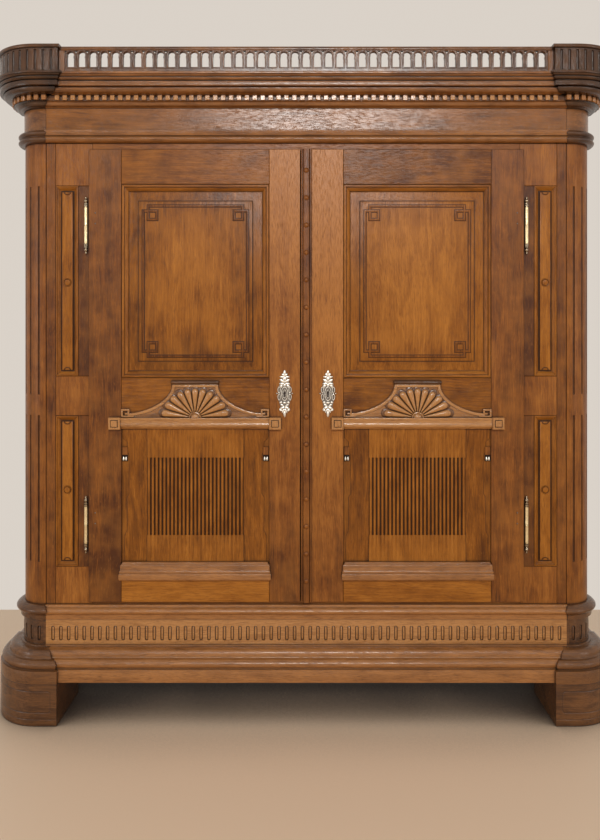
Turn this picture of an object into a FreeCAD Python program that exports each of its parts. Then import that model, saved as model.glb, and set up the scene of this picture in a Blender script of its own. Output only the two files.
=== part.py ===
import FreeCAD, Part
import math
import os
from FreeCAD import Vector

# A two-door oak cabinet with quarter-round corner posts, a breakfront cornice and
# base, and an arcaded gallery between the two corner caps. Millimetres, +Z up.
# Everything is drawn with the front face of the door surround at Y zero and +Y
# going back, then moved so that the origin is at the middle of the floor outline.

# Carcass
carcass_width = 1850.0
carcass_depth = 560.0
corner_radius = 85.0
post_land = 8.0
frame_thickness = 28.0
board_thickness = 22.0
panel_thickness = 10.0
return_setback = 17.0
overrun = 3.0
seam_clearance = 0.3

# Facets of the small rounds
swell_steps = 2
round_sides = 8
flute_sides = 6
barrel_sides = 12
arch_steps = 4

# Storeys, from the floor up
foot_height = 130.0
plinth_height = 40.0
ogee_height = 56.0
base_frieze_height = 82.0
base_bead_height = 46.0
front_height = 1474.0
architrave_height = 39.0
frieze_height = 72.0
bed_height = 17.0
dentil_height = 17.0
crown_height = 59.0
cap_height = 73.0
cap_slab_height = 11.0
gallery_height = 82.0

# How far each storey stands out from the front face
plinth_reach = 62.0
base_frieze_reach = 4.0
base_bead_reach = 20.0
architrave_reach = 18.0
frieze_reach = 3.0
bed_reach = 34.0
dentil_back_reach = 22.0
dentil_reach = 34.0
crown_reach = 80.0
cap_reach = 78.0
cap_slab_reach = 84.0
corner_lead = 12.0
ring_lead = 4.0
dentil_lead = 6.0

# Repeats along the mouldings
dentil_width = 14.0
dentil_gap = 11.0
frieze_flute_width = 11.0
frieze_flute_pitch = 24.9
frieze_flute_height = 46.0
frieze_flute_depth = 4.0
frieze_flute_drop = 5.0
cap_flute_radius = 3.8
cap_flute_pitch = 24.5
cap_flute_margin = 8.0
post_flute_radius = 3.6
post_flute_count = 4
post_upper_flute_bottom = 670.0
post_upper_flute_drop = 137.0
post_lower_flute_bottom = 134.0
post_lower_flute_top = 604.0

# Gallery
gallery_pitch = 35.0
gallery_opening_width = 19.0
gallery_sill_height = 18.0
gallery_opening_height = 43.0
gallery_thickness = 14.0
gallery_reach = 65.0
gallery_spandrel_width = 9.0
gallery_spandrel_height = 7.0
gallery_spandrel_drop = 3.0

# Door surround
stile_width = 149.0
sill_rail_height = 20.0
head_rail_height = 32.0
rail_depth = 44.0
stile_panel_width = 73.0
stile_panel_inset = 46.0
stile_panel_bottom = 120.0
stile_panel_middle = 603.0
stile_panel_middle_top = 729.0
stile_panel_drop = 136.0
stile_panel_bevel = 18.0
stile_panel_sink = 8.0
stile_strip_width = 30.0
stile_strip_height = 5.0
stile_boss_radius = 12.0
stile_boss_height = 3.5
stile_upper_boss = 1029.0
stile_lower_boss = 365.0

# Doors
door_lap = 10.0
door_lip = 12.0
door_core = 18.0
door_gap = 2.0
door_rebate_clearance = 2.5
astragal_width = 34.0
astragal_band_width = 19.0
astragal_height = 8.0
astragal_boss_radius = 9.0
astragal_boss_height = 3.0
astragal_boss_pitch = 87.0
door_stile_width = 104.0
panel_zone_inner = 118.0
top_rail_height = 111.0
bottom_rail_height = 72.0
lock_rail_height = 162.0
door_panel_moulding_width = 25.0
door_panel_moulding_drop = 10.0
door_panel_bevel_width = 29.0
door_panel_field_rise = 6.0
thread_width = 7.0
thread_height = 1.6
thread_inset = 71.0
key_size = 31.0
key_shift = 10.0

# Carved work on the doors
shelf_height = 36.0
shelf_reach = 15.0
shelf_block_size = 38.0
shelf_block_reach = 18.0
shelf_button_size = 21.0
shelf_button_height = 3.0
pediment_height = 106.0
pediment_top_width = 146.0
pediment_plate = 3.0
pediment_band_width = 8.0
pediment_band_height = 6.0
pediment_foot_height = 14.0
cap_bar_width = 152.0
cap_bar_height = 12.0
cap_bar_reach = 11.0
scroll_width = 27.0
scroll_height = 26.0
shell_width = 216.0
shell_rise = 93.0
shell_lobes = 11
shell_hub_radius = 18.0
shell_hub_reach = 14.0
shell_tip_radius = 12.0
reeded_margin = 81.5
reeded_rise = 3.0
reed_count = 25
reed_depth = 4.0
reed_foot_margin = 85.0
reed_head_margin = 92.0
lower_panel_sink = 6.0
shaped_board_rise = 3.0
sill_height = 57.0
sill_reach = 16.0
sill_end_lap = 5.5

# Escutcheons
escutcheon_height = 154.0
escutcheon_thickness = 2.4
escutcheon_offset = 69.0
keyhole_height = 673.0
keyhole_over_lock_rail = 111.0
keyhole_radius = 3.6
keyhole_slot_width = 4.0
keyhole_slot_length = 11.0

# Hinges
hinge_offset = 10.0
hinge_front = 7.0
hinge_radius = 6.2
hinge_pin_radius = 3.6
hinge_pin_clearance = 0.05
hinge_split_clearance = 0.2
hinge_knuckle_length = 58.0
hinge_finial_length = 34.0
hinge_leaf_thickness = 3.0
hinge_leaf_depth = 22.0
hinge_leaf_height = 90.0
hinge_leaf_gap = 4.0
upper_hinge_drop = 264.0
lower_hinge_height = 255.0

# Lock and slide bolts
lock_width = 100.0
lock_height = 76.0
lock_thickness = 18.0
lock_edge = 4.0
lock_bolt_length = 62.0
lock_bolt_height = 24.0
lock_bolt_thickness = 8.0
lock_bolt_clearance = 0.2
keep_width = 30.0
keep_wall = 3.0
keep_clearance = 1.5
slide_bolt_width = 12.0
slide_bolt_thickness = 6.0
slide_bolt_length = 200.0
slide_bolt_inset = 36.0
slide_bolt_setback = 1.5
slide_bolt_clearance = 0.15
slide_bolt_hole_clearance = 0.7
slide_bolt_hole_depth = 16.0
slide_knob_radius = 6.0
slide_knob_length = 9.0
guide_plate_thickness = 2.0
guide_wall = 2.0
guide_width = 26.0
guide_height = 14.0
guide_inset = 22.0

# Inside fittings
hat_shelf_drop = 264.0
shelf_thickness = 20.0
batten_thickness = 18.0
clothes_rail_radius = 14.0
clothes_rail_drop = 90.0
clothes_rail_clearance = 0.2
socket_width = 52.0
socket_thickness = 16.0
socket_floor = 4.0

# Side and back frames
frame_member_width = 90.0
middle_rail_height = 562.0
bearer_thickness = 40.0
rear_foot_depth = 120.0
rear_foot_width = 107.0

# Moulding outlines, from the bottom up: share of the reach, share of the height,
# and how far the run to the next point swells out, as a share of its length.
flat_shares = ((1.0, 0.0, 0.0), (1.0, 1.0, 0.0))
ogee_shares = (
    (0.94, 0.0, 0.0), (0.88, 0.04, 0.28), (0.80, 0.50, 0.0), (0.68, 0.50, 0.0),
    (0.64, 0.55, 0.30), (0.26, 0.94, 0.0), (0.16, 0.94, 0.0), (0.16, 1.0, 0.0))
base_bead_shares = (
    (0.50, 0.0, 0.0), (0.50, 0.34, 0.0), (0.70, 0.37, 0.34), (0.70, 0.80, 0.0),
    (0.45, 0.83, 0.0), (0.45, 1.0, 0.0))
base_ring_shares = (
    (0.55, 0.0, 0.0), (0.55, 0.30, 0.0), (0.62, 0.33, 0.42), (0.62, 0.92, 0.0),
    (0.35, 1.0, 0.0))
architrave_shares = (
    (0.35, 0.0, 0.0), (0.68, 0.06, 0.36), (0.68, 0.52, 0.0), (0.84, 0.56, 0.0),
    (1.0, 0.94, 0.0), (1.0, 1.0, 0.0))
ring_shares = (
    (0.45, 0.0, 0.0), (0.62, 0.03, 0.40), (0.62, 0.48, 0.0), (0.62, 0.52, 0.40),
    (0.62, 0.97, 0.0), (0.35, 1.0, 0.0))
bed_shares = (
    (0.20, 0.0, 0.0), (0.30, 0.20, 0.25), (0.62, 0.62, -0.22), (0.88, 0.92, 0.0),
    (0.88, 1.0, 0.0))
crown_shares = (
    (0.50, 0.0, 0.0), (0.54, 0.03, -0.24), (0.78, 0.24, 0.0), (0.85, 0.24, 0.0),
    (0.85, 0.48, 0.0), (0.80, 0.50, -0.20), (0.92, 0.77, 0.0), (0.96, 0.80, 0.0),
    (1.0, 0.86, 0.0), (1.0, 0.95, 0.0), (0.98, 1.0, 0.0))
shelf_shares = (
    (0.30, 0.0, 0.0), (0.55, 0.10, 0.22), (0.90, 0.52, 0.0), (0.90, 0.80, 0.0),
    (1.0, 0.84, 0.0), (1.0, 1.0, 0.0))
sill_shares = (
    (0.80, 0.0, 0.0), (1.0, 0.08, 0.0), (1.0, 0.36, 0.0), (0.82, 0.40, 0.12),
    (0.82, 0.54, 0.0), (0.72, 0.56, 0.0), (0.72, 0.84, 0.0), (0.55, 0.88, 0.0),
    (0.30, 1.0, 0.0))
panel_moulding_shares = (
    (0.0, 0.0, 0.0), (0.10, 0.0, 0.0), (0.12, 0.22, -0.16), (0.62, 0.78, 0.0),
    (0.72, 0.78, 0.0), (0.76, 1.0, 0.0), (1.0, 1.0, 0.0))

# Outline of the shaped board beside the reeding: share of half the panel zone,
# share of the height from the sill moulding up to the shelf moulding.
shaped_board_shares = (
    (0.965, 0.0), (0.965, 0.19), (0.93, 0.23), (0.93, 0.48), (0.90, 0.51),
    (0.90, 0.80), (0.93, 0.83), (0.93, 0.90), (0.985, 0.93), (0.985, 1.0))

# Escutcheon plate as overlapping rounds: sideways place, height and radius,
# all as shares of its height, from the keyhole.
escutcheon_shares = (
    (0.0, 0.0, 0.125), (0.0, 0.105, 0.085), (0.0, -0.105, 0.085),
    (0.125, 0.045, 0.060), (0.125, -0.045, 0.060), (0.075, 0.195, 0.055),
    (0.0, 0.26, 0.070), (0.0, 0.355, 0.050), (0.0, 0.44, 0.052),
    (0.075, -0.195, 0.055), (0.0, -0.26, 0.070), (0.0, -0.355, 0.050),
    (0.0, -0.44, 0.052))

# Ray of the fan shell: share of its reach, share of its radius at the tip.
shell_ray_shares = ((0.0, 0.25), (0.90, 1.0), (1.0, 0.45))

# Turned finial of a hinge: share of the knuckle radius, share of its length.
finial_shares = (
    (1.0, 0.0), (1.0, 0.16), (0.50, 0.30), (0.88, 0.52), (0.40, 0.80), (0.24, 1.0))

# Places worked out from the sizes above
half_width = carcass_width / 2
post_centre = half_width - corner_radius
seam_x = post_centre - post_land
seam_y = corner_radius + post_land
plinth_top = foot_height + plinth_height
ogee_top = plinth_top + ogee_height
base_frieze_top = ogee_top + base_frieze_height
front_bottom = base_frieze_top + base_bead_height
front_top = front_bottom + front_height
architrave_top = front_top + architrave_height
frieze_top = architrave_top + frieze_height
bed_top = frieze_top + bed_height
dentil_top = bed_top + dentil_height
crown_top = dentil_top + crown_height
cap_top = crown_top + cap_height
origin_y = -(carcass_depth - crown_reach - corner_lead) / 2
half_opening = seam_x - stile_width
opening_bottom = front_bottom + sill_rail_height
opening_top = front_top - head_rail_height
door_edge = half_opening + door_lap
door_bottom = opening_bottom - door_lap
door_top = opening_top + door_lap
back_frame_front = carcass_depth - board_thickness
inner_half_width = half_width - frame_thickness
hinge_x = door_edge + hinge_offset
panel_zone_outer = door_edge - door_stile_width
panel_centre = (panel_zone_outer + panel_zone_inner) / 2
panel_half = (panel_zone_outer - panel_zone_inner) / 2
keyhole_z = front_bottom + keyhole_height
lock_rail_low = keyhole_z - keyhole_over_lock_rail
lock_rail_top = lock_rail_low + lock_rail_height
top_rail_bottom = door_top - top_rail_height
bottom_rail_top = door_bottom + bottom_rail_height
shelf_top = lock_rail_low + shelf_height
left_meeting = -(astragal_width / 2 + door_gap)
right_meeting = astragal_width / 2
floor_top = opening_bottom
ceiling_bottom = front_top - board_thickness
hat_shelf_bottom = front_top - hat_shelf_drop


def box(x0, x1, y0, y1, z0, z1):
    """Box between two corners."""
    return Part.makeBox(x1 - x0, y1 - y0, z1 - z0, Vector(x0, y0, z0))


def cylinder_z(radius, x, y, z0, z1):
    """Upright cylinder."""
    return Part.makeCylinder(radius, z1 - z0, Vector(x, y, z0))


def cylinder_y(radius, x, z, y0, y1):
    """Cylinder that runs from front to back."""
    return Part.makeCylinder(radius, y1 - y0, Vector(x, y0, z), Vector(0, 1, 0))


def round_corners(radius, sides, start=0):
    """Corners of a regular outline of the given radius, as pairs."""
    corners = []
    for index in range(sides):
        angle = 2 * math.pi * (index + 1 / 2) / sides + start
        corners.append((radius * math.cos(angle), radius * math.sin(angle)))
    return corners


def round_y(radius, x, z, y0, y1):
    """Small round that runs from front to back, in flats."""
    corners = [Vector(x + a, y0, z + b) for a, b in round_corners(radius, round_sides)]
    return outline_face(corners).extrude(Vector(0, y1 - y0, 0))


def flute_z(radius, x, y, z0, z1):
    """Upright flute cutter, in flats."""
    corners = [Vector(x + a, y + b, z0) for a, b in round_corners(radius, flute_sides)]
    return outline_face(corners).extrude(Vector(0, 0, z1 - z0))


def mirrored(shape):
    """The same piece on the other side of the cabinet."""
    return shape.mirror(Vector(0, 0, 0), Vector(1, 0, 0))


def joined(shapes):
    """One solid from touching or overlapping solids."""
    return shapes[0].fuse(list(shapes[1:])).removeSplitter()


def both_sides(shape):
    """A piece and its mirror image."""
    return [shape, mirrored(shape)]


def save(name, solids):
    """Moves the solids to the cabinet's origin and writes one node."""
    group = solids if isinstance(solids, list) else [solids]
    shape = Part.Compound([solid.copy() for solid in group])
    shape.translate(Vector(0, origin_y, 0))
    if len(group) == 1:
        shape = shape.childShapes()[0]
    shape.exportStep("parts/" + name + ".step")


def outline_face(corners):
    """Flat face inside straight runs between points."""
    return Part.Face(Part.makePolygon(list(corners) + [corners[0]]))


def ringed_solid(rings):
    """Flat-sided solid between rings of matching corners, from the first ring to the last."""
    faces = [outline_face(rings[0]), outline_face(rings[-1])]
    for near, far in zip(rings, rings[1:]):
        for index in range(len(near)):
            faces.append(outline_face([near[index - 1], near[index], far[index], far[index - 1]]))
    return Part.Solid(Part.Shell(faces))


def level_points(levels, bottom):
    """Reach, height and swell along a stack of storeys (shares, reach, height)."""
    points = []
    floor = bottom
    for shares, reach, height in levels:
        for reach_share, height_share, swell in shares:
            points.append((reach * reach_share, floor + height * height_share, swell))
        floor += height
    return points


def swollen_run(start, end):
    """Points from one outline point to the next, along a low curve where the run swells."""
    steps = swell_steps if start[2] else 1
    run_out = end[0] - start[0]
    run_up = end[1] - start[1]
    points = []
    for index in range(steps + 1):
        share = index / steps
        swell = 4 * start[2] * share * (1 - share)
        points.append((
            start[0] + run_out * share + run_up * swell,
            start[1] + run_up * share - run_out * swell))
    return points


def profile_face(points, back, place):
    """Face of a moulding between its outline and a flat back, set by place(reach, height)."""
    edges = []
    for start, end in zip(points, points[1:]):
        first = place(start[0], start[1])
        last = place(end[0], end[1])
        if first.isEqual(last, seam_clearance / 100):
            continue
        for here, there in zip(swollen_run(start, end), swollen_run(start, end)[1:]):
            edges.append(Part.LineSegment(place(*here), place(*there)).toShape())
    bottom_front = place(points[0][0], points[0][1])
    top_front = place(points[-1][0], points[-1][1])
    bottom_back = place(back, points[0][1])
    top_back = place(back, points[-1][1])
    edges.append(Part.LineSegment(top_front, top_back).toShape())
    edges.append(Part.LineSegment(top_back, bottom_back).toShape())
    edges.append(Part.LineSegment(bottom_back, bottom_front).toShape())
    return Part.Face(Part.Wire(edges))


def corner_piece(levels, bottom, return_back):
    """Left corner of a storey: a quarter turn round the post's centre, with a short
    arm along the front and the side whose end returns on the moulding's own outline."""
    points = level_points(levels, bottom)
    turn_face = profile_face(
        points, -corner_radius,
        lambda reach, z: Vector(-(half_width + reach), corner_radius, z))
    axis = Vector(-post_centre, corner_radius, 0)
    turn = turn_face.revolve(axis, Vector(0, 0, 1), 90)
    arm_face = profile_face(
        points, -corner_radius, lambda reach, z: Vector(-post_centre, -reach, z))
    arm = arm_face.extrude(Vector(post_land, 0, 0))
    longest = max(point[0] for point in points)
    front_arm = [arm]
    if longest > return_setback:
        end_face = profile_face(
            points, return_back, lambda reach, z: Vector(-seam_x, -reach, z))
        end = end_face.extrude(Vector(longest, 0, 0))
        return_face = profile_face(
            points, -longest - return_setback,
            lambda reach, z: Vector(-(seam_x + return_setback) + reach, -longest - overrun, z))
        depth = longest + corner_radius + overrun * 2
        front_arm.append(end.common(return_face.extrude(Vector(0, depth, 0))))
    diagonal = Vector(1, -1, 0)
    side_arm = [piece.mirror(axis, diagonal) for piece in front_arm]
    return joined([turn] + front_arm + side_arm)


def corner_prism(reach, bottom, height):
    """Left corner block with a quarter-round outer corner and square inner sides."""
    inner_x = -(seam_x + return_setback) + reach
    inner_y = seam_y - return_setback + reach
    turn_radius = corner_radius + reach
    turn = math.sqrt(2) / 2 * turn_radius
    front_start = Vector(-post_centre, -reach, bottom)
    side_start = Vector(-(half_width + reach), corner_radius, bottom)
    middle = Vector(-post_centre - turn, corner_radius - turn, bottom)
    far_corner = Vector(inner_x, inner_y, bottom)
    front_inner = Vector(inner_x, -reach, bottom)
    side_inner = Vector(-(half_width + reach), inner_y, bottom)
    edges = [
        Part.LineSegment(front_inner, front_start).toShape(),
        Part.Arc(front_start, middle, side_start).toShape(),
        Part.LineSegment(side_start, side_inner).toShape(),
        Part.LineSegment(side_inner, far_corner).toShape(),
        Part.LineSegment(far_corner, front_inner).toShape()]
    return Part.Face(Part.Wire(edges)).extrude(Vector(0, 0, height))


def around_corner(shape, step_degrees, count, start_degrees):
    """Copies of a shape turned about the left post's centre, from the side to the front."""
    copies = []
    axis = Vector(-post_centre, corner_radius, 0)
    for index in range(count):
        copy = shape.copy()
        copy.rotate(axis, Vector(0, 0, 1), start_degrees + index * step_degrees)
        copies.append(copy)
    return copies


def front_run(levels, bottom, back, corner):
    """Straight moulding along the front between two corner pieces."""
    points = level_points(levels, bottom)
    face = profile_face(points, back, lambda reach, z: Vector(-seam_x, -reach, z))
    run = face.extrude(Vector(2 * seam_x, 0, 0))
    return run.cut([corner, mirrored(corner)])


def side_run(levels, bottom, back, corner):
    """Straight moulding along the left side, from the corner piece to the back."""
    points = level_points(levels, bottom)
    face = profile_face(
        points, back, lambda reach, z: Vector(-(half_width + reach), seam_y, z))
    run = face.extrude(Vector(0, carcass_depth - seam_y, 0))
    return run.cut(corner)


# Base


def base_levels(lead, bead_shares, bead_reach):
    """Storeys of the base from the plinth band up to the bead."""
    reach = plinth_reach + lead
    return (
        (flat_shares, reach, plinth_height),
        (ogee_shares, reach, ogee_height),
        (flat_shares, base_frieze_reach, base_frieze_height),
        (bead_shares, bead_reach, base_bead_height))


def frieze_flute(x, z_middle):
    """Upright flute with drawn-in ends, cut into the base frieze from the front."""
    wide = frieze_flute_width / 2
    half = frieze_flute_height / 2
    shoulder = half - wide
    top = -(base_frieze_reach + overrun)
    depth = frieze_flute_depth + overrun
    outline = (
        (wide, -shoulder), (wide, shoulder), (0, half), (-wide, shoulder),
        (-wide, -shoulder), (0, -half))
    corners = [Vector(x + across, top, z_middle + up) for across, up in outline]
    return outline_face(corners).extrude(Vector(0, depth, 0))


def frieze_flute_middle():
    """Height of the middle of the base frieze's flutes."""
    return base_frieze_top - base_frieze_height / 2 - frieze_flute_drop


def make_base_corner():
    """Left corner of the base: plinth band, ogee, fluted block and ring."""
    levels = base_levels(corner_lead, base_ring_shares, base_bead_reach + ring_lead)
    piece = corner_piece(levels, foot_height, -corner_radius)
    flute = frieze_flute(-post_centre, frieze_flute_middle())
    arc_length = math.pi / 2 * corner_radius
    count = int(arc_length / frieze_flute_pitch)
    step = 90 / count
    cutters = around_corner(flute, -step, count, -step / 2)
    return piece.cut(cutters)


def make_base_front(corner):
    """Ogee rail, fluted frieze board and bead along the front."""
    plinth, ogee, frieze, bead = base_levels(0, base_bead_shares, base_bead_reach)
    save("base_front_rail", front_run((plinth, ogee), foot_height, -board_thickness, corner))
    board = front_run((frieze,), ogee_top, -board_thickness, corner)
    count = int((2 * seam_x - frieze_flute_width) / frieze_flute_pitch)
    first = -(count - 1) / 2 * frieze_flute_pitch
    cutters = []
    for index in range(count):
        cutters.append(frieze_flute(first + index * frieze_flute_pitch, frieze_flute_middle()))
    save("base_frieze", board.cut(cutters))
    save("base_bead", front_run((bead,), base_frieze_top, -board_thickness, corner))


def make_base():
    """Feet, corner pieces, front, sides, back and floor bearer of the base."""
    corner = make_base_corner()
    save("base_corners", both_sides(corner))
    foot = corner_prism(plinth_reach + corner_lead, 0, foot_height)
    save("front_feet", both_sides(foot))
    outer = half_width + plinth_reach
    rear_foot = box(
        -outer, rear_foot_width - outer, carcass_depth - rear_foot_depth, carcass_depth,
        0, foot_height)
    save("rear_feet", both_sides(rear_foot))
    make_base_front(corner)
    levels = base_levels(0, base_bead_shares, base_bead_reach)
    side = side_run(levels, foot_height, -board_thickness, corner)
    save("base_sides", both_sides(side))
    inner = half_width - board_thickness
    back = box(-inner, inner, back_frame_front, carcass_depth, foot_height, front_bottom)
    bearer = box(
        -bearer_thickness / 2, bearer_thickness / 2, board_thickness, back_frame_front,
        ogee_top, front_bottom)
    save("base_inner_rails", [back, bearer])


# Front of the carcass


def make_post():
    """Left corner post: a fluted quarter round with a short land each side."""
    levels = ((flat_shares, 0, front_height),)
    post = corner_piece(levels, front_bottom, -corner_radius)
    step = 90 / post_flute_count
    runs = (
        (post_lower_flute_bottom, post_lower_flute_top),
        (post_upper_flute_bottom, front_height - post_upper_flute_drop))
    cutters = []
    for low, high in runs:
        flute = flute_z(
            post_flute_radius, -post_centre, 0, front_bottom + low, front_bottom + high)
        cutters += around_corner(flute, -step, post_flute_count, -step / 2)
    return post.cut(cutters)


def rectangle_ring(x0, x1, y, z0, z1, inset):
    """Corners of an upright rectangle drawn in from its edges."""
    return [
        Vector(x0 + inset, y, z0 + inset), Vector(x1 - inset, y, z0 + inset),
        Vector(x1 - inset, y, z1 - inset), Vector(x0 + inset, y, z1 - inset)]


def stile_panel(z0, z1, boss_z):
    """Sunk panel of the left stile: a bevelled tray with a raised strip and a boss."""
    x0 = -(half_opening + stile_panel_inset + stile_panel_width)
    x1 = -(half_opening + stile_panel_inset)
    tray = box(x0, x1, 0, frame_thickness, z0, z1)
    bevel = stile_panel_bevel
    sink = stile_panel_sink
    mouth = rectangle_ring(x0, x1, 0, z0, z1, 0)
    floor = rectangle_ring(x0, x1, sink, z0, z1, bevel)
    tray = tray.cut(ringed_solid([mouth, floor]))
    middle = (x0 + x1) / 2
    strip_front = sink - stile_strip_height
    strip = box(
        middle - stile_strip_width / 2, middle + stile_strip_width / 2, strip_front,
        frame_thickness, z0 + bevel, z1 - bevel)
    boss = round_y(
        stile_boss_radius, middle, boss_z, strip_front - stile_boss_height, frame_thickness)
    return joined([tray, strip, boss])


def make_stiles():
    """Door surround: two framed stiles with sunk panels, head rail and sill rail."""
    stile = box(-seam_x, -half_opening, 0, frame_thickness, front_bottom, front_top)
    spans = (
        (stile_panel_bottom, stile_panel_middle, stile_lower_boss),
        (stile_panel_middle_top, front_height - stile_panel_drop, stile_upper_boss))
    panels = []
    for low, high, boss in spans:
        panels.append(stile_panel(front_bottom + low, front_bottom + high, front_bottom + boss))
    x0 = -(half_opening + stile_panel_inset + stile_panel_width)
    x1 = -(half_opening + stile_panel_inset)
    for low, high, boss in spans:
        stile = stile.cut(
            box(x0, x1, -overrun, frame_thickness + overrun, front_bottom + low, front_bottom + high))
    stile = stile.cut(frame_leaf_slots())
    save("front_stiles", both_sides(stile))
    save("stile_panels", panels + [mirrored(panel) for panel in panels])
    head = box(-half_opening, half_opening, 0, rail_depth, opening_top, front_top)
    sill = box(-half_opening, half_opening, 0, rail_depth, front_bottom, opening_bottom)
    clearance = slide_bolt_hole_clearance
    head_hole = slide_bolt_bar(
        clearance, opening_top - overrun, opening_top + slide_bolt_hole_depth)
    sill_hole = slide_bolt_bar(
        clearance, opening_bottom - slide_bolt_hole_depth, opening_bottom + overrun)
    save("surround_rails", [head.cut(head_hole), sill.cut(sill_hole)])


def carcass_board(z0, z1):
    """Floor or ceiling board: it fills the carcass behind the rails and posts."""
    front = box(-seam_x, seam_x, rail_depth, back_frame_front, z0, z1)
    wide = box(-inner_half_width, inner_half_width, seam_y, back_frame_front, z0, z1)
    return joined([front, wide])


def panel_frame(stiles, rails, place):
    """Upright stiles and cross rails of a frame; place(a0, a1, z0, z1) makes one member."""
    members = []
    width = frame_member_width
    for start in stiles:
        members.append(place(start, start + width, front_bottom, front_top))
    inner_edges = sorted(stiles)
    for left, right in zip(inner_edges, inner_edges[1:]):
        for z0, z1 in rails:
            members.append(place(left + width, right, z0, z1))
    return members


def frame_rails():
    """Heights of the bottom, middle and top rails of the side and back frames."""
    middle = front_bottom + middle_rail_height
    return (
        (front_bottom, front_bottom + frame_member_width),
        (middle, middle + frame_member_width),
        (front_top - frame_member_width, front_top))


def make_sides():
    """Frame-and-panel sides."""
    rails = frame_rails()

    def member(y0, y1, z0, z1):
        return box(-half_width, -inner_half_width, y0, y1, z0, z1)

    inset = (frame_thickness - panel_thickness) / 2

    def panel(y0, y1, z0, z1):
        return box(-half_width + inset, -inner_half_width - inset, y0, y1, z0, z1)

    stiles = (seam_y, carcass_depth - frame_member_width)
    members = panel_frame(stiles, rails, member)
    panels = []
    for low, high in zip(rails, rails[1:]):
        panels.append(panel(stiles[0] + frame_member_width, stiles[1], low[1], high[0]))
    save("side_frames", members + [mirrored(piece) for piece in members])
    save("side_panels", panels + [mirrored(piece) for piece in panels])


def make_back():
    """Frame-and-panel back, set between the sides."""
    rails = frame_rails()

    def member(x0, x1, z0, z1):
        return box(x0, x1, back_frame_front, carcass_depth, z0, z1)

    inset = (board_thickness - panel_thickness) / 2

    def panel(x0, x1, z0, z1):
        return box(x0, x1, back_frame_front + inset, carcass_depth - inset, z0, z1)

    width = frame_member_width
    stiles = (-inner_half_width, -width / 2, inner_half_width - width)
    members = panel_frame(stiles, rails, member)
    panels = []
    for left, right in zip(stiles, stiles[1:]):
        for low, high in zip(rails, rails[1:]):
            panels.append(panel(left + width, right, low[1], high[0]))
    save("back_frame", members)
    save("back_panels", panels)


# Cornice


def make_frieze():
    """Architrave, frieze boards and their corner blocks."""
    ring = (ring_shares, architrave_reach + ring_lead, architrave_height)
    block = (flat_shares, frieze_reach, frieze_height)
    corner = corner_piece((ring, block), front_top, -corner_radius)
    save("frieze_corners", both_sides(corner))
    straight = (architrave_shares, architrave_reach, architrave_height)
    front_moulding = front_run((straight,), front_top, -board_thickness, corner)
    side = side_run((straight,), front_top, -board_thickness, corner)
    save("architrave", [front_moulding] + both_sides(side))
    dust_bottom = crown_top - panel_thickness
    front = box(-seam_x, seam_x, -frieze_reach, board_thickness, architrave_top, dust_bottom)
    side_board = box(
        -(half_width + frieze_reach), -(half_width - board_thickness), seam_y,
        carcass_depth, architrave_top, dust_bottom)
    inner = half_width - board_thickness
    back = box(-inner, inner, back_frame_front, carcass_depth, front_top, dust_bottom)
    save("frieze_boards", [front, back] + both_sides(side_board))
    outer = half_width + frieze_reach
    dust = box(-outer, outer, -frieze_reach, carcass_depth, dust_bottom, crown_top)
    notch = box(-outer - overrun, -seam_x, -frieze_reach - overrun, seam_y, dust_bottom, crown_top)
    save("top_board", dust.cut([notch, mirrored(notch)]))


def dentil_comb(length):
    """Strip with teeth, drawn as one comb outline seen from above."""
    pitch = dentil_width + dentil_gap
    count = int((length - dentil_gap) / pitch)
    first = -((count - 1) * pitch + dentil_width) / 2
    root = -(dentil_back_reach + (dentil_reach - dentil_back_reach) / 3)
    corners = [Vector(-length / 2, -dentil_back_reach, bed_top), Vector(-length / 2, root, bed_top)]
    for index in range(count):
        left = first + index * pitch
        right = left + dentil_width
        corners.append(Vector(left, root, bed_top))
        corners.append(Vector(left, -dentil_reach, bed_top))
        corners.append(Vector(right, -dentil_reach, bed_top))
        corners.append(Vector(right, root, bed_top))
    corners.append(Vector(length / 2, root, bed_top))
    corners.append(Vector(length / 2, -dentil_back_reach, bed_top))
    return outline_face(corners).extrude(Vector(0, 0, dentil_height))


def make_cornice_corner():
    """Left corner of the cornice with dentils cut round it."""
    levels = (
        (bed_shares, bed_reach + dentil_lead, bed_height),
        (flat_shares, dentil_reach + dentil_lead, dentil_height),
        (crown_shares, crown_reach + corner_lead, crown_height))
    corner = corner_piece(levels, frieze_top, frieze_reach)
    reach = dentil_reach + dentil_lead
    count = round(math.pi / 2 * (corner_radius + reach) / (dentil_width + dentil_gap))
    slot = box(
        -post_centre - dentil_gap / 2, -post_centre + dentil_gap / 2, -reach - overrun,
        -reach + dentil_gap, bed_top, dentil_top)
    step = 90 / count
    cutters = around_corner(slot, -step, count + 1, 0)
    return corner.cut(cutters)


def make_cornice():
    """Cornice mouldings, dentils and corner caps."""
    corner = make_cornice_corner()
    save("cornice_corners", both_sides(corner))
    levels = (
        (bed_shares, bed_reach, bed_height),
        (flat_shares, dentil_back_reach, dentil_height),
        (crown_shares, crown_reach, crown_height))
    front_moulding = front_run(levels, frieze_top, frieze_reach, corner)
    side = side_run(levels, frieze_top, frieze_reach, corner)
    save("cornice_mouldings", [front_moulding] + both_sides(side))
    inner = seam_x + return_setback - dentil_reach - dentil_lead
    front_comb = dentil_comb(2 * inner)
    side_start = seam_y - return_setback + dentil_reach + dentil_lead
    side_length = carcass_depth - side_start
    side_comb = dentil_comb(side_length)
    side_comb.rotate(Vector(0, 0, 0), Vector(0, 0, 1), -90)
    side_comb.translate(Vector(-half_width, side_start + side_length / 2, 0))
    save("dentils", [front_comb] + both_sides(side_comb))
    make_caps()


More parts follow.
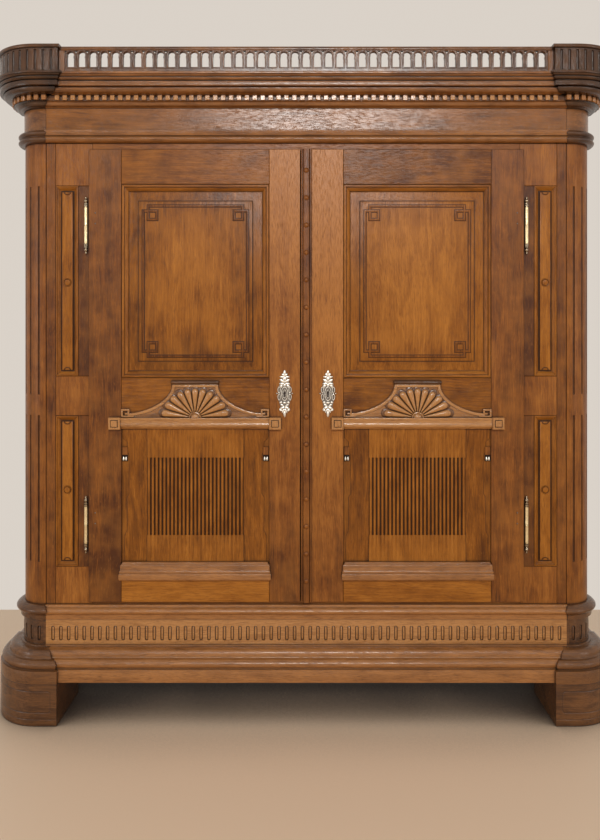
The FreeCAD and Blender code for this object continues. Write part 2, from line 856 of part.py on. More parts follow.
def make_caps():
    """Fluted corner caps that stand on the cornice."""
    band = corner_prism(cap_reach, crown_top, cap_height)
    slab = corner_prism(cap_slab_reach, cap_top, cap_slab_height)
    z0 = crown_top + cap_flute_margin
    z1 = cap_top - cap_flute_margin
    arc_length = math.pi / 2 * (corner_radius + cap_reach)
    count = round(arc_length / cap_flute_pitch)
    step = 90 / count
    flute = flute_z(cap_flute_radius, -post_centre, -cap_reach, z0, z1)
    cutters = around_corner(flute, -step, count + 1, 0)
    arm = return_span()
    for index in range(int(arm / cap_flute_pitch)):
        along = (index + 1) * cap_flute_pitch
        cutters.append(flute_z(cap_flute_radius, -post_centre + along, -cap_reach, z0, z1))
        side_x = -(half_width + cap_reach)
        cutters.append(flute_z(cap_flute_radius, side_x, corner_radius + along, z0, z1))
    cap = joined([band.cut(cutters), slab])
    save("caps", both_sides(cap))


def return_span():
    """Length of a cap's straight arm beyond its quarter turn."""
    return post_land - return_setback + cap_reach


def make_gallery():
    """Pierced arcade between the caps: round arches with small spandrel holes."""
    half = seam_x + return_setback - cap_reach
    front = -gallery_reach
    outer = Part.makePolygon([
        Vector(-half, front, crown_top), Vector(half, front, crown_top),
        Vector(half, front, crown_top + gallery_height),
        Vector(-half, front, crown_top + gallery_height), Vector(-half, front, crown_top)])
    radius = gallery_opening_width / 2
    count = int((2 * half - gallery_opening_width) / gallery_pitch)
    first = -(count - 1) / 2 * gallery_pitch
    low = crown_top + gallery_sill_height
    spring = low + gallery_opening_height - radius
    wires = [outer]
    for index in range(count):
        x = first + index * gallery_pitch
        corners = [Vector(x + radius, front, low)]
        for step in range(arch_steps + 1):
            angle = math.pi * step / arch_steps
            corners.append(Vector(
                x + radius * math.cos(angle), front, spring + radius * math.sin(angle)))
        corners.append(Vector(x - radius, front, low))
        wires.append(Part.makePolygon(corners + [corners[0]]))
    hole_top = crown_top + gallery_sill_height + gallery_opening_height + gallery_spandrel_drop
    for index in range(count - 1):
        x = first + (index + 1 / 2) * gallery_pitch
        half_hole = gallery_spandrel_width / 2
        wires.append(Part.makePolygon([
            Vector(x - half_hole, front, hole_top), Vector(x + half_hole, front, hole_top),
            Vector(x, front, hole_top - gallery_spandrel_height),
            Vector(x - half_hole, front, hole_top)]))
    face = Part.makeFace(Part.Compound(wires), "Part::FaceMakerBullseye")
    slab = corner_prism(cap_slab_reach, cap_top, cap_slab_height)
    arcade = face.extrude(Vector(0, gallery_thickness, 0))
    save("gallery", arcade.cut([slab, mirrored(slab)]))


# Doors, drawn as the left one; the right door is built the same way and mirrored


def rebate_cutter(meeting):
    """Space behind a door's lip, round the core that enters the opening."""
    clearance = door_rebate_clearance
    back = door_core + overrun
    around = box(
        -door_edge - overrun, meeting + overrun, -seam_clearance, back,
        door_bottom - overrun, door_top + overrun)
    core = box(
        -half_opening + clearance, meeting + 2 * overrun, -seam_clearance - overrun,
        back + overrun, opening_bottom + clearance, opening_top - clearance)
    return around.cut(core)


def make_door_frame(side, meeting, place):
    """Two stiles and three rails of a door."""
    cutter = rebate_cutter(meeting)
    front = -door_lip
    back = door_core
    hinge_stile = box(-door_edge, -panel_zone_outer, front, back, door_bottom, door_top)
    lock_stile = box(-panel_zone_inner, meeting, front, back, door_bottom, door_top)
    hinge_stile = hinge_stile.cut([cutter] + door_leaf_slots())
    lock_stile = lock_stile.cut(cutter)
    if side == "right":
        lock_stile = lock_stile.cut(
            keyhole(-escutcheon_offset, -door_lip - overrun, door_core + overrun))
    rails = []
    spans = (
        (door_bottom, bottom_rail_top), (lock_rail_low, lock_rail_top),
        (top_rail_bottom, door_top))
    for z0, z1 in spans:
        rail = box(-panel_zone_outer, -panel_zone_inner, front, back, z0, z1)
        rails.append(rail.cut(cutter))
    members = [hinge_stile, lock_stile] + rails
    save("door_" + side + "_frame", [place(member) for member in members])


def mitred_frame(x0, x1, z0, z1, shares, width, drop, front, back):
    """Moulding mitred round an opening: its outline drops back as it goes inward."""
    members = []
    whole = box(x0, x1, front - overrun, back + overrun, z0, z1)
    middle_x = (x0 + x1) / 2
    middle_z = (z0 + z1) / 2
    for turn in range(4):
        upright = turn % 2 == 1
        half_length = (z1 - z0) / 2 if upright else (x1 - x0) / 2
        half_across = (x1 - x0) / 2 if upright else (z1 - z0) / 2

        def place(inward, depth):
            return Vector(-half_length, front + depth, -half_across + inward)

        corners = [place(width * share[0], drop * share[1]) for share in shares]
        corners += [place(width, back - front), place(0, back - front)]
        bar = outline_face(corners).extrude(Vector(2 * half_length, 0, 0))
        mitre = outline_face([
            Vector(-half_length, front - overrun, -half_across),
            Vector(half_length, front - overrun, -half_across),
            Vector(half_length - width, front - overrun, -half_across + width),
            Vector(-half_length + width, front - overrun, -half_across + width)])
        bar = bar.common(mitre.extrude(Vector(0, back - front + 2 * overrun, 0)))
        bar.rotate(Vector(0, 0, 0), Vector(0, 1, 0), -90 * turn)
        bar.translate(Vector(middle_x, 0, middle_z))
        members.append(bar)
    return joined(members).common(whole)


def thread(x0, z0, x1, z1, front):
    """Straight raised thread between two points of its middle line."""
    half = thread_width / 2
    return box(
        min(x0, x1) - half, max(x0, x1) + half, front - thread_height, front,
        min(z0, z1) - half, max(z0, z1) + half)


def key_corner(x, z, across, up, front):
    """Square turn of the thread at a corner of the field, interlaced with its two lines."""
    reach = key_size - thread_width
    near_x = x + across * key_shift
    near_z = z + up * key_shift
    far_x = near_x + across * reach
    far_z = near_z + up * reach
    return [
        thread(near_x, near_z, far_x, near_z, front),
        thread(far_x, near_z, far_x, far_z, front),
        thread(far_x, far_z, near_x, far_z, front),
        thread(near_x, far_z, near_x, near_z, front)]


def make_upper_panel(side, place):
    """Raised and fielded upper panel with its thread ornament, and the moulding round it."""
    x0, x1 = -panel_zone_outer, -panel_zone_inner
    z0, z1 = lock_rail_top, top_rail_bottom
    moulding = mitred_frame(
        x0, x1, z0, z1, panel_moulding_shares, door_panel_moulding_width,
        door_panel_moulding_drop, -door_lip, door_core)
    save("door_" + side + "_moulding", place(moulding))
    width = door_panel_moulding_width
    px0, px1, pz0, pz1 = x0 + width, x1 - width, z0 + width, z1 - width
    edge_front = door_panel_moulding_drop - door_lip
    field_front = edge_front - door_panel_field_rise
    plate = box(px0, px1, edge_front, edge_front + panel_thickness, pz0, pz1)
    low = rectangle_ring(px0, px1, edge_front, pz0, pz1, 0)
    high = rectangle_ring(px0, px1, field_front, pz0, pz1, door_panel_bevel_width)
    pieces = [plate, ringed_solid([low, high])]
    tx0, tx1 = x0 + thread_inset, x1 - thread_inset
    tz0, tz1 = z0 + thread_inset, z1 - thread_inset
    pieces += [
        thread(tx0, tz0, tx0, tz1, field_front), thread(tx1, tz0, tx1, tz1, field_front),
        thread(tx0, tz0, tx1, tz0, field_front), thread(tx0, tz1, tx1, tz1, field_front)]
    pieces += key_corner(tx0, tz0, 1, 1, field_front)
    pieces += key_corner(tx1, tz0, -1, 1, field_front)
    pieces += key_corner(tx0, tz1, 1, -1, field_front)
    pieces += key_corner(tx1, tz1, -1, -1, field_front)
    save("door_" + side + "_upper_panel", place(joined(pieces)))


def make_lower_panel(side, place):
    """Lower panel: a sunk board, a shaped board on it and the reeded centre."""
    x0, x1 = -panel_zone_outer, -panel_zone_inner
    z0, z1 = bottom_rail_top, lock_rail_low
    front = lower_panel_sink - door_lip
    plate = box(x0, x1, front, front + panel_thickness, z0, z1)
    shape_bottom = z0 + sill_height
    height = z1 - shape_bottom
    right_side = []
    left_side = []
    for across, up in shaped_board_shares:
        z = shape_bottom + height * up
        right_side.append(Vector(-panel_centre + panel_half * across, front, z))
        left_side.append(Vector(-panel_centre - panel_half * across, front, z))
    shaped = outline_face(right_side + left_side[::-1])
    shaped = shaped.extrude(Vector(0, -shaped_board_rise, 0))
    half = panel_half - reeded_margin
    board_front = front - shaped_board_rise - reeded_rise
    board = box(
        -panel_centre - half, -panel_centre + half, board_front, front, shape_bottom, z1)
    panel = joined([plate, shaped, board])
    reed_z0 = shape_bottom + reed_foot_margin
    reed_height = z1 - reed_head_margin - reed_z0
    pitch = 2 * half / reed_count
    cutters = []
    for index in range(1, reed_count):
        x = -panel_centre - half + index * pitch
        mouth = pitch / 3
        cutters.append(outline_face([
            Vector(x - mouth, board_front - overrun, reed_z0),
            Vector(x + mouth, board_front - overrun, reed_z0),
            Vector(x, board_front + reed_depth, reed_z0)]).extrude(Vector(0, 0, reed_height)))
    save("door_" + side + "_lower_panel", place(panel.cut(cutters)))


def pediment_outline(front, inset):
    """Flat-topped outline with two hollow shoulders, over the shelf moulding."""
    base = shelf_top
    top = base + pediment_height - inset
    foot = base + pediment_foot_height - inset
    half_top = pediment_top_width / 2 - inset
    half_foot = panel_half - scroll_width
    hollow = (top - foot) / 3
    left_top = Vector(-panel_centre - half_top, front, top)
    left_foot = Vector(-panel_centre - half_foot, front, foot)
    right_top = Vector(-panel_centre + half_top, front, top)
    right_foot = Vector(-panel_centre + half_foot, front, foot)
    middle_x = (half_top + half_foot) / 2 - hollow / 2
    middle_z = (top + foot) / 2 - hollow / 2
    left_middle = Vector(-panel_centre - middle_x, front, middle_z)
    right_middle = Vector(-panel_centre + middle_x, front, middle_z)
    left_base = Vector(-panel_centre - half_foot, front, base)
    right_base = Vector(-panel_centre + half_foot, front, base)
    return Part.Face(Part.Wire([
        Part.LineSegment(left_base, left_foot).toShape(),
        Part.Arc(left_foot, left_middle, left_top).toShape(),
        Part.LineSegment(left_top, right_top).toShape(),
        Part.Arc(right_top, right_middle, right_foot).toShape(),
        Part.LineSegment(right_foot, right_base).toShape(),
        Part.LineSegment(right_base, left_base).toShape()]))


def scroll(x0, x1, front):
    """Square scroll at the foot of the pediment."""
    z0 = shelf_top
    band = pediment_band_width
    block = box(x0, x1, front - pediment_band_height, front, z0, z0 + scroll_height)
    gap = band / 2
    hollow = box(
        x0 + gap, x1 - gap, front - pediment_band_height - overrun,
        front - pediment_plate, z0 + gap, z0 + scroll_height - gap)
    heart = box(
        x0 + band, x1 - band, front - pediment_band_height, front,
        z0 + band, z0 + scroll_height - band)
    return joined([block.cut(hollow), heart])


def shell_lobe(angle, front):
    """One ray of the fan: it swells from a thin root to a blunt round tip."""
    across = math.cos(angle)
    up = math.sin(angle)
    reach = 1 / math.hypot(across / (shell_width / 2), up / shell_rise)
    direction = Vector(across, 0, up)
    sideways = Vector(-up, 0, across)
    hub = Vector(-panel_centre, front, shelf_top)
    rings = []
    for length_share, radius_share in shell_ray_shares:
        middle = hub + direction * (reach * length_share)
        radius = shell_tip_radius * radius_share
        corners = []
        for a, b in round_corners(radius, round_sides):
            corners.append(middle + sideways * a + Vector(0, b, 0))
        rings.append(corners)
    return ringed_solid(rings)


def make_pediment(side, place):
    """Carved pediment on the lock rail: plate, band, scrolls, cap bar and fan shell."""
    front = -door_lip
    outer = pediment_outline(front, 0)
    plate = outer.extrude(Vector(0, -pediment_plate, 0))
    band = outer.extrude(Vector(0, -pediment_band_height, 0))
    hollow = pediment_outline(front + overrun, pediment_band_width)
    band = band.cut(hollow.extrude(Vector(0, -pediment_band_height - 2 * overrun, 0)))
    band = band.common(box(
        -panel_zone_outer, -panel_zone_inner, front - pediment_band_height, front,
        shelf_top + pediment_foot_height - pediment_band_width, shelf_top + pediment_height))
    left = -panel_zone_outer
    right = -panel_zone_inner
    bar_bottom = shelf_top + pediment_height
    bar = box(
        -panel_centre - cap_bar_width / 2, -panel_centre + cap_bar_width / 2,
        front - cap_bar_reach, front, bar_bottom, bar_bottom + cap_bar_height)
    pieces = [
        plate, band, scroll(left, left + scroll_width, front),
        scroll(right - scroll_width, right, front), bar]
    save("door_" + side + "_pediment", place(joined(pieces)))
    lobes = []
    for index in range(shell_lobes):
        angle = math.pi * (index + 1 / 2) / shell_lobes
        lobes.append(shell_lobe(angle, front - pediment_plate))
    hub = cylinder_y(
        shell_hub_radius, -panel_centre, shelf_top, front - shell_hub_reach,
        front - pediment_plate)
    clip = box(
        -panel_zone_outer, -panel_zone_inner, front - 2 * shell_hub_reach,
        front - pediment_plate, shelf_top, shelf_top + pediment_height)
    save("door_" + side + "_shell", place(joined(lobes + [hub]).common(clip)))


def make_door_mouldings(side, place):
    """Shelf moulding with its end blocks, and the returned sill moulding."""
    front = -door_lip
    points = level_points(((shelf_shares, shelf_reach, shelf_height),), lock_rail_low)
    face = profile_face(points, 0, lambda reach, z: Vector(-panel_zone_outer, front - reach, z))
    shelf = [face.extrude(Vector(2 * panel_half, 0, 0))]
    middle_z = lock_rail_low + shelf_height / 2
    half = shelf_block_size / 2
    half_button = shelf_button_size / 2
    for x in (-panel_zone_outer - half, -panel_zone_inner + half):
        block = box(
            x - half, x + half, front - shelf_block_reach, front, middle_z - half,
            middle_z + half)
        button = box(
            x - half_button, x + half_button,
            front - shelf_block_reach - shelf_button_height, front,
            middle_z - half_button, middle_z + half_button)
        shelf.append(block.fuse(button))
    save("door_" + side + "_shelf_moulding", [place(piece) for piece in shelf])
    points = level_points(((sill_shares, sill_reach, sill_height),), bottom_rail_top)
    half_length = panel_half + sill_end_lap
    bar_face = profile_face(
        points, 0, lambda reach, z: Vector(-panel_centre - half_length, front - reach, z))
    bar = bar_face.extrude(Vector(2 * half_length, 0, 0))
    end_face = profile_face(
        points, -half_length,
        lambda reach, z: Vector(-panel_centre + half_length - sill_reach + reach,
                                front - sill_reach - overrun, z))
    depth = sill_reach + door_lip + 2 * overrun
    right_end = end_face.extrude(Vector(0, depth, 0))
    left_end = right_end.mirror(Vector(-panel_centre, 0, 0), Vector(1, 0, 0))
    tongue = box(
        -panel_zone_outer, -panel_zone_inner, front, front + lower_panel_sink,
        bottom_rail_top, bottom_rail_top + sill_height)
    sill = joined([bar.common(right_end.fuse(left_end)), tongue])
    save("door_" + side + "_sill_moulding", place(sill))


def keyhole(x, y0, y1):
    """Keyhole cut from front to back: a round with a slot below it."""
    round_part = cylinder_y(keyhole_radius, x, keyhole_z, y0, y1)
    slot = box(
        x - keyhole_slot_width / 2, x + keyhole_slot_width / 2, y0, y1,
        keyhole_z - keyhole_slot_length, keyhole_z)
    return round_part.fuse(slot)


def make_escutcheon(side, place):
    """Pierced plate round the keyhole, as one outline of overlapping rounds."""
    x = -escutcheon_offset
    front = -door_lip
    discs = []
    for across, up, radius in escutcheon_shares:
        signs = (1, -1) if across else (1,)
        for sign in signs:
            discs.append(round_y(
                escutcheon_height * radius, x + sign * escutcheon_height * across,
                keyhole_z + escutcheon_height * up, front - escutcheon_thickness, front))
    plate = joined(discs)
    plate = plate.cut(keyhole(x, front - escutcheon_thickness - overrun, front + overrun))
    save("escutcheon_" + side, place(plate))


def make_astragal(meeting, place):
    """Moulded strip on the right door's meeting edge, with a row of round bosses."""
    x0 = meeting - astragal_width
    x1 = meeting
    front = -door_lip
    strip = box(x0, x1, front - astragal_height / 2, front, door_bottom, door_top)
    middle = (x0 + x1) / 2
    half = astragal_band_width / 2
    band = box(
        middle - half, middle + half, front - astragal_height, front, door_bottom, door_top)
    pieces = [strip, band]
    count = int((door_top - door_bottom) / astragal_boss_pitch)
    first = (door_top + door_bottom) / 2 - (count - 1) / 2 * astragal_boss_pitch
    for index in range(count):
        pieces.append(round_y(
            astragal_boss_radius, middle, first + index * astragal_boss_pitch,
            front - astragal_height - astragal_boss_height, front))
    save("astragal", place(joined(pieces)))


# Hinges


def hinge_middles():
    """Heights where the two knuckles of each hinge meet."""
    return (front_bottom + lower_hinge_height, front_top - upper_hinge_drop)


def hinge_barrel(start, end, up):
    """Knuckle from the split to its end and the turned finial beyond, pointing up or down."""
    levels = [(1.0, start)]
    for radius_share, length_share in finial_shares:
        levels.append((radius_share, end + up * hinge_finial_length * length_share))
    rings = []
    for radius_share, level in levels:
        corners = []
        for a, b in round_corners(hinge_radius * radius_share, barrel_sides):
            corners.append(Vector(-hinge_x + a, -hinge_front + b, level))
        rings.append(corners)
    return ringed_solid(rings)


def door_leaf(z):
    """Leaf of the upper knuckle, let into the door's edge."""
    half = hinge_leaf_thickness / 2
    z0 = z + hinge_leaf_gap
    return box(
        -hinge_x, -door_edge + hinge_leaf_depth, -hinge_front - half, -hinge_front + half,
        z0, z0 + hinge_leaf_height / 2)


def frame_leaf(z):
    """Leaf of the lower knuckle, let into the front stile."""
    half = hinge_leaf_thickness / 2
    z1 = z - hinge_leaf_gap
    return box(
        -hinge_x - half, -hinge_x + half, -hinge_front, hinge_leaf_depth,
        z1 - hinge_leaf_height / 2, z1)


def door_leaf_slots():
    """Slots in the door's edge for the hinge leaves."""
    return [door_leaf(z) for z in hinge_middles()]


def frame_leaf_slots():
    """Slots in the front stile for the hinge leaves."""
    return [frame_leaf(z) for z in hinge_middles()]


def make_hinges():
    """Pin hinges in two halves: the lower knuckle carries the pin, the upper one turns."""
    lower_halves = []
    upper_halves = []
    bore = hinge_pin_radius + hinge_pin_clearance
    pin_length = hinge_knuckle_length * 3 / 4
    for z in hinge_middles():
        barrel = hinge_barrel(z, z - hinge_knuckle_length, -1)
        pin = cylinder_z(hinge_pin_radius, -hinge_x, -hinge_front, z, z + pin_length)
        lower_halves.append(joined([barrel, pin, frame_leaf(z)]))
        start = z + hinge_split_clearance
        barrel = hinge_barrel(start, z + hinge_knuckle_length, 1)
        high = joined([barrel, door_leaf(z)])
        hole = cylinder_z(
            bore, -hinge_x, -hinge_front, start - overrun, z + pin_length + overrun)
        upper_halves.append(high.cut(hole))
    frame_halves = lower_halves + [mirrored(half) for half in lower_halves]
    save("hinge_frame_halves", frame_halves)
    save("hinge_door_halves_left", upper_halves)
    save("hinge_door_halves_right", [mirrored(half) for half in upper_halves])


# Lock and bolts


def make_lock():
    """Rim lock on the right door, its bolt, and the keep on the left door."""
    x0 = -right_meeting + lock_edge
    x1 = x0 + lock_width
    back = door_core + lock_thickness
    z0 = keyhole_z - lock_height / 2
    z1 = keyhole_z + lock_height / 2
    case = box(x0, x1, door_core, back, z0, z1)
    bolt_z = keyhole_z + lock_bolt_height / 2 + keyhole_radius
    middle_y = door_core + lock_thickness / 2
    half_y = lock_bolt_thickness / 2
    half_z = lock_bolt_height / 2
    gap = lock_bolt_clearance
    channel = box(
        x0 - overrun, x0 + lock_bolt_length + gap, middle_y - half_y - gap,
        middle_y + half_y + gap, bolt_z - half_z - gap, bolt_z + half_z + gap)
    case = case.cut([channel, mirrored(keyhole(-escutcheon_offset, door_core - overrun, middle_y))])
    save("lock_case", case)
    bolt = box(
        x0, x0 + lock_bolt_length, middle_y - half_y, middle_y + half_y,
        bolt_z - half_z, bolt_z + half_z)
    save("lock_bolt", bolt)
    mouth = left_meeting - door_gap / 2
    half_keep = half_z + keep_clearance + keep_wall
    keep = box(mouth - keep_width, mouth, door_core, back, bolt_z - half_keep, bolt_z + half_keep)
    inner = half_z + keep_clearance
    pocket = box(
        mouth - keep_width + keep_wall, mouth + overrun, middle_y - half_y - keep_clearance,
        middle_y + half_y + keep_clearance, bolt_z - inner, bolt_z + inner)
    save("lock_keep", keep.cut(pocket))


def slide_bolt_bar(clearance, z0, z1):
    """Flat bar along a slide bolt's way, widened all round by a clearance."""
    x = left_meeting - slide_bolt_inset
    half = slide_bolt_width / 2 + clearance
    near = door_core + guide_plate_thickness + slide_bolt_clearance
    return box(x - half, x + half, near - clearance, near + slide_bolt_thickness + clearance, z0, z1)


def guide(z0, z1):
    """Plate with two eyes that carries one slide bolt."""
    x = left_meeting - slide_bolt_inset
    half = guide_width / 2
    plate = box(x - half, x + half, door_core, door_core + guide_plate_thickness, z0, z1)
    reach = slide_bolt_width / 2 + slide_bolt_clearance + guide_wall
    back = door_core + guide_plate_thickness + slide_bolt_thickness + guide_wall
    eyes = []
    for z in (z0, z1 - guide_height):
        eyes.append(box(
            x - reach, x + reach, door_core, back + 2 * slide_bolt_clearance, z, z + guide_height))
    channel = slide_bolt_bar(slide_bolt_clearance, z0 - overrun, z1 + overrun)
    return joined([plate] + eyes).cut(channel)


def slide_bolt(z0, z1, knob_z):
    """Flat bolt with a knob."""
    x = left_meeting - slide_bolt_inset
    bar = slide_bolt_bar(0, z0, z1)
    near = door_core + guide_plate_thickness + slide_bolt_clearance
    knob = round_y(
        slide_knob_radius, x, knob_z, near, near + slide_bolt_thickness + slide_knob_length)
    return joined([bar, knob])


def make_slide_bolts():
    """Bolts at the top and bottom of the left door's inner edge, drawn back."""
    top = opening_top - door_rebate_clearance - slide_bolt_setback
    low = opening_bottom + door_rebate_clearance + slide_bolt_setback
    length = slide_bolt_length
    save("top_bolt", slide_bolt(top - length, top, top - length / 2))
    save("bottom_bolt", slide_bolt(low, low + length, low + length / 2))
    save("bolt_guides", [
        guide(top - length + guide_inset, top - guide_inset),
        guide(low + guide_inset, low + length - guide_inset)])


def make_door(side):
    """All fixed pieces of one door."""
    left = side == "left"
    meeting = left_meeting if left else right_meeting

    def place(shape):
        return shape if left else mirrored(shape)

    make_door_frame(side, meeting, place)
    make_upper_panel(side, place)
    make_lower_panel(side, place)
    make_pediment(side, place)
    make_door_mouldings(side, place)
    make_escutcheon(side, place)
    if not left:
        make_astragal(meeting, place)


# Inside


def make_inside():
    """Floor, ceiling, hat shelf on battens, and the clothes rail in its sockets."""
    save("floor_board", carcass_board(front_bottom, floor_top))
    save("ceiling_board", carcass_board(ceiling_bottom, front_top))
    shelf_bottom = hat_shelf_bottom
    shelf = box(
        -inner_half_width, inner_half_width, seam_y, back_frame_front, shelf_bottom,
        shelf_bottom + shelf_thickness)
    save("hat_shelf", shelf)
    carrier = inner_half_width - batten_thickness
    rail_z = shelf_bottom - clothes_rail_drop
    half = socket_width / 2
    batten = box(
        -inner_half_width, -carrier, seam_y, back_frame_front, rail_z - half, shelf_bottom)
    save("shelf_battens", both_sides(batten))
    middle_y = (seam_y + back_frame_front) / 2
    end = carrier - socket_floor
    rail = Part.makeCylinder(
        clothes_rail_radius, 2 * end, Vector(-end, middle_y, rail_z), Vector(1, 0, 0))
    save("clothes_rail", rail)
    socket = box(
        -carrier, -carrier + socket_thickness, middle_y - half, middle_y + half,
        rail_z - half, rail_z + half)
    bore = Part.makeCylinder(
        clothes_rail_radius + clothes_rail_clearance, socket_thickness,
        Vector(-end, middle_y, rail_z), Vector(1, 0, 0))
    save("rail_sockets", both_sides(socket.cut(bore)))


def main():
    """Writes every node of the cabinet."""
    os.makedirs("parts", exist_ok=True)
    make_base()
    save("corner_posts", both_sides(make_post()))
    make_stiles()
    make_sides()
    make_back()
    make_frieze()
    make_cornice()
    make_gallery()
    make_inside()
    make_hinges()
    make_door("left")
    make_door("right")
    make_lock()
    make_slide_bolts()


main()
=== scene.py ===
import functools
import logging
import math
import zlib
from dataclasses import dataclass
from enum import Enum
from typing import Callable, Sequence

import bmesh
import bpy
import numpy as np
from bpy.types import Material, Node, NodeSocket, NodeTree, Object
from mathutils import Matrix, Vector


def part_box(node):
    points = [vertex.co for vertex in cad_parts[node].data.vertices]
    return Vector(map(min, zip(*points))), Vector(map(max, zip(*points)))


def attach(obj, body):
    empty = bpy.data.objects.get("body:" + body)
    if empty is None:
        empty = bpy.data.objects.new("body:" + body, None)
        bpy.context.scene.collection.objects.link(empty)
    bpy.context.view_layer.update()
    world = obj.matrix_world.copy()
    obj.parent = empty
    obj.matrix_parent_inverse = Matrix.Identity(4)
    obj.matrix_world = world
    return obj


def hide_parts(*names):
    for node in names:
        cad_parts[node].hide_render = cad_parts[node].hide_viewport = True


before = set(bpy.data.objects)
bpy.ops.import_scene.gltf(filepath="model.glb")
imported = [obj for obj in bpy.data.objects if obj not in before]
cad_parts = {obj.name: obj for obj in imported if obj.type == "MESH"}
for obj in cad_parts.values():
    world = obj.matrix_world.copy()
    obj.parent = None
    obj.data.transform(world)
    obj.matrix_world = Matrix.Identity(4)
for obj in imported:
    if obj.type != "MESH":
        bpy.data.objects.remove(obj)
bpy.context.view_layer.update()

log = logging.getLogger("cabinet")
Array = np.ndarray
Plug = NodeSocket | float | tuple
MM = 0.001
TURN = 2 * math.pi

# Moulding outlines from the bottom up: share of the reach, share of the height, and how
# far the run to the next point swells out, as a share of its length.
FLAT = ((1, 0, 0), (1, 1, 0))
OGEE = (
    (0.94, 0, 0), (0.88, 0.04, 0.28), (0.8, 0.5, 0), (0.68, 0.5, 0),
    (0.64, 0.55, 0.3), (0.26, 0.94, 0), (0.16, 0.94, 0), (0.16, 1, 0))
BASE_BEAD = (
    (0.5, 0, 0), (0.5, 0.34, 0), (0.7, 0.37, 0.34), (0.7, 0.8, 0), (0.45, 0.83, 0),
    (0.45, 1, 0))
BASE_RING = (
    (0.55, 0, 0), (0.55, 0.3, 0), (0.62, 0.33, 0.42), (0.62, 0.92, 0), (0.35, 1, 0))
ARCHITRAVE = (
    (0.35, 0, 0), (0.68, 0.06, 0.36), (0.68, 0.52, 0), (0.84, 0.56, 0), (1, 0.94, 0),
    (1, 1, 0))
RING = (
    (0.45, 0, 0), (0.62, 0.03, 0.4), (0.62, 0.48, 0), (0.62, 0.52, 0.4), (0.62, 0.97, 0),
    (0.35, 1, 0))
BED = ((0.2, 0, 0), (0.3, 0.2, 0.25), (0.62, 0.62, -0.22), (0.88, 0.92, 0), (0.88, 1, 0))
CROWN = (
    (0.5, 0, 0), (0.56, 0.02, 0.22), (0.72, 0.27, 0), (0.66, 0.27, 0), (0.66, 0.31, 0),
    (0.84, 0.31, 0), (0.84, 0.55, 0), (0.78, 0.55, 0), (0.78, 0.59, 0.18), (0.9, 0.73, 0),
    (0.86, 0.73, 0), (0.86, 0.77, 0.15), (0.95, 0.87, 0), (1, 0.87, 0), (1, 1, 0))
SHELF = (
    (0.3, 0, 0), (0.55, 0.1, 0.22), (0.9, 0.52, 0), (0.9, 0.8, 0), (1, 0.84, 0),
    (1, 1, 0))
SILL = (
    (0.8, 0, 0), (1, 0.08, 0), (1, 0.36, 0), (0.82, 0.4, 0.12), (0.82, 0.54, 0),
    (0.72, 0.56, 0), (0.72, 0.84, 0), (0.55, 0.88, 0), (0.3, 1, 0))
# Painted shade: how much darker the wood is for each millimetre that a groove goes down.
GROOVE_SHADE = 0.22


class Grain(Enum):
    """Which way the wood's fibres run in a board."""

    ACROSS = 0
    DEEP = 1
    UPRIGHT = 2
    LONGEST = 3


ACROSS, DEEP, UPRIGHT, LONGEST = Grain


def low(node: str) -> Array:
    """Lowest corner of a CAD node, in millimetres."""
    return np.array(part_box(node)[0]) / MM


def high(node: str) -> Array:
    """Highest corner of a CAD node, in millimetres."""
    return np.array(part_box(node)[1]) / MM


@dataclass(frozen=True)
class Places:
    """Places that the cabinet's pieces share, in millimetres."""

    front: float = low("front_stiles")[1]
    back: float = high("back_frame")[1]
    half_width: float = high("corner_posts")[0]
    seam: float = high("front_stiles")[0]
    half_opening: float = high("surround_rails")[0]
    land: float = 8.0
    setback: float = 17.0

    @property
    def radius(self) -> float:
        """Radius of the rounded corner at the face of the posts."""
        return self.half_width - self.seam - self.land

    @property
    def turn_x(self) -> float:
        """Distance of the corner's turning centre from the middle."""
        return self.half_width - self.radius

    @property
    def turn_y(self) -> float:
        """Depth of the corner's turning centre."""
        return self.front + self.radius

    @property
    def side_start(self) -> float:
        """Depth at which the straight mouldings of the sides begin."""
        return self.turn_y + self.land


AT = Places()


@dataclass
class Shape:
    """A surface being built: points in millimetres and faces as lists of point numbers.

    The grain is each point's place along, up and into its board, and the tone lightens
    or darkens the wood there.
    """

    points: Array
    faces: list
    grain: Array | None = None
    tone: Array | None = None


def points_at(x: Array | float, y: Array | float, z: Array | float) -> Array:
    """Points from arrays or numbers that broadcast to one grid."""
    return np.stack(np.broadcast_arrays(x, y, z), -1)


def unit(vectors: Array) -> Array:
    """The vectors with a length of 1."""
    return vectors / np.linalg.norm(vectors, axis=-1, keepdims=True)


def lattice(points: Array, loop: bool = True, ring: bool = False, caps: bool = True) -> Shape:
    """Quads over grids of points, whose last axes are rows, columns and place.

    Args:
        points: (rows, columns, 3), or (copies, rows, columns, 3) for separate copies.
        loop: each row closes on itself.
        ring: the last row joins the first.
        caps: rows that close get a flat face at both ends.

    Returns:
        The joined shape.
    """
    stack = points if points.ndim == 4 else points[None]
    copies, rows, columns = stack.shape[:3]
    index = np.arange(copies * rows * columns).reshape(copies, rows, columns)
    beside, above = np.roll(index, -1, 2), np.roll(index, -1, 1)
    quads = np.stack([index, beside, np.roll(beside, -1, 1), above], -1)
    quads = quads[:, :rows if ring else rows - 1, :columns if loop else columns - 1]
    faces = quads.reshape(-1, 4).tolist()
    if caps and loop and not ring:
        faces += index[:, 0, ::-1].tolist() + index[:, -1].tolist()
    return Shape(stack.reshape(-1, 3), faces)


def joined(shapes: Sequence[Shape]) -> Shape:
    """One shape that holds several."""
    faces, start = [], 0
    for shape in shapes:
        faces += [[corner + start for corner in face] for face in shape.faces]
        start += len(shape.points)
    points, grain, tone = (
        np.concatenate([getattr(shape, key) for shape in shapes]) for key in ("points", "grain", "tone"))
    return Shape(points, faces, grain, tone)


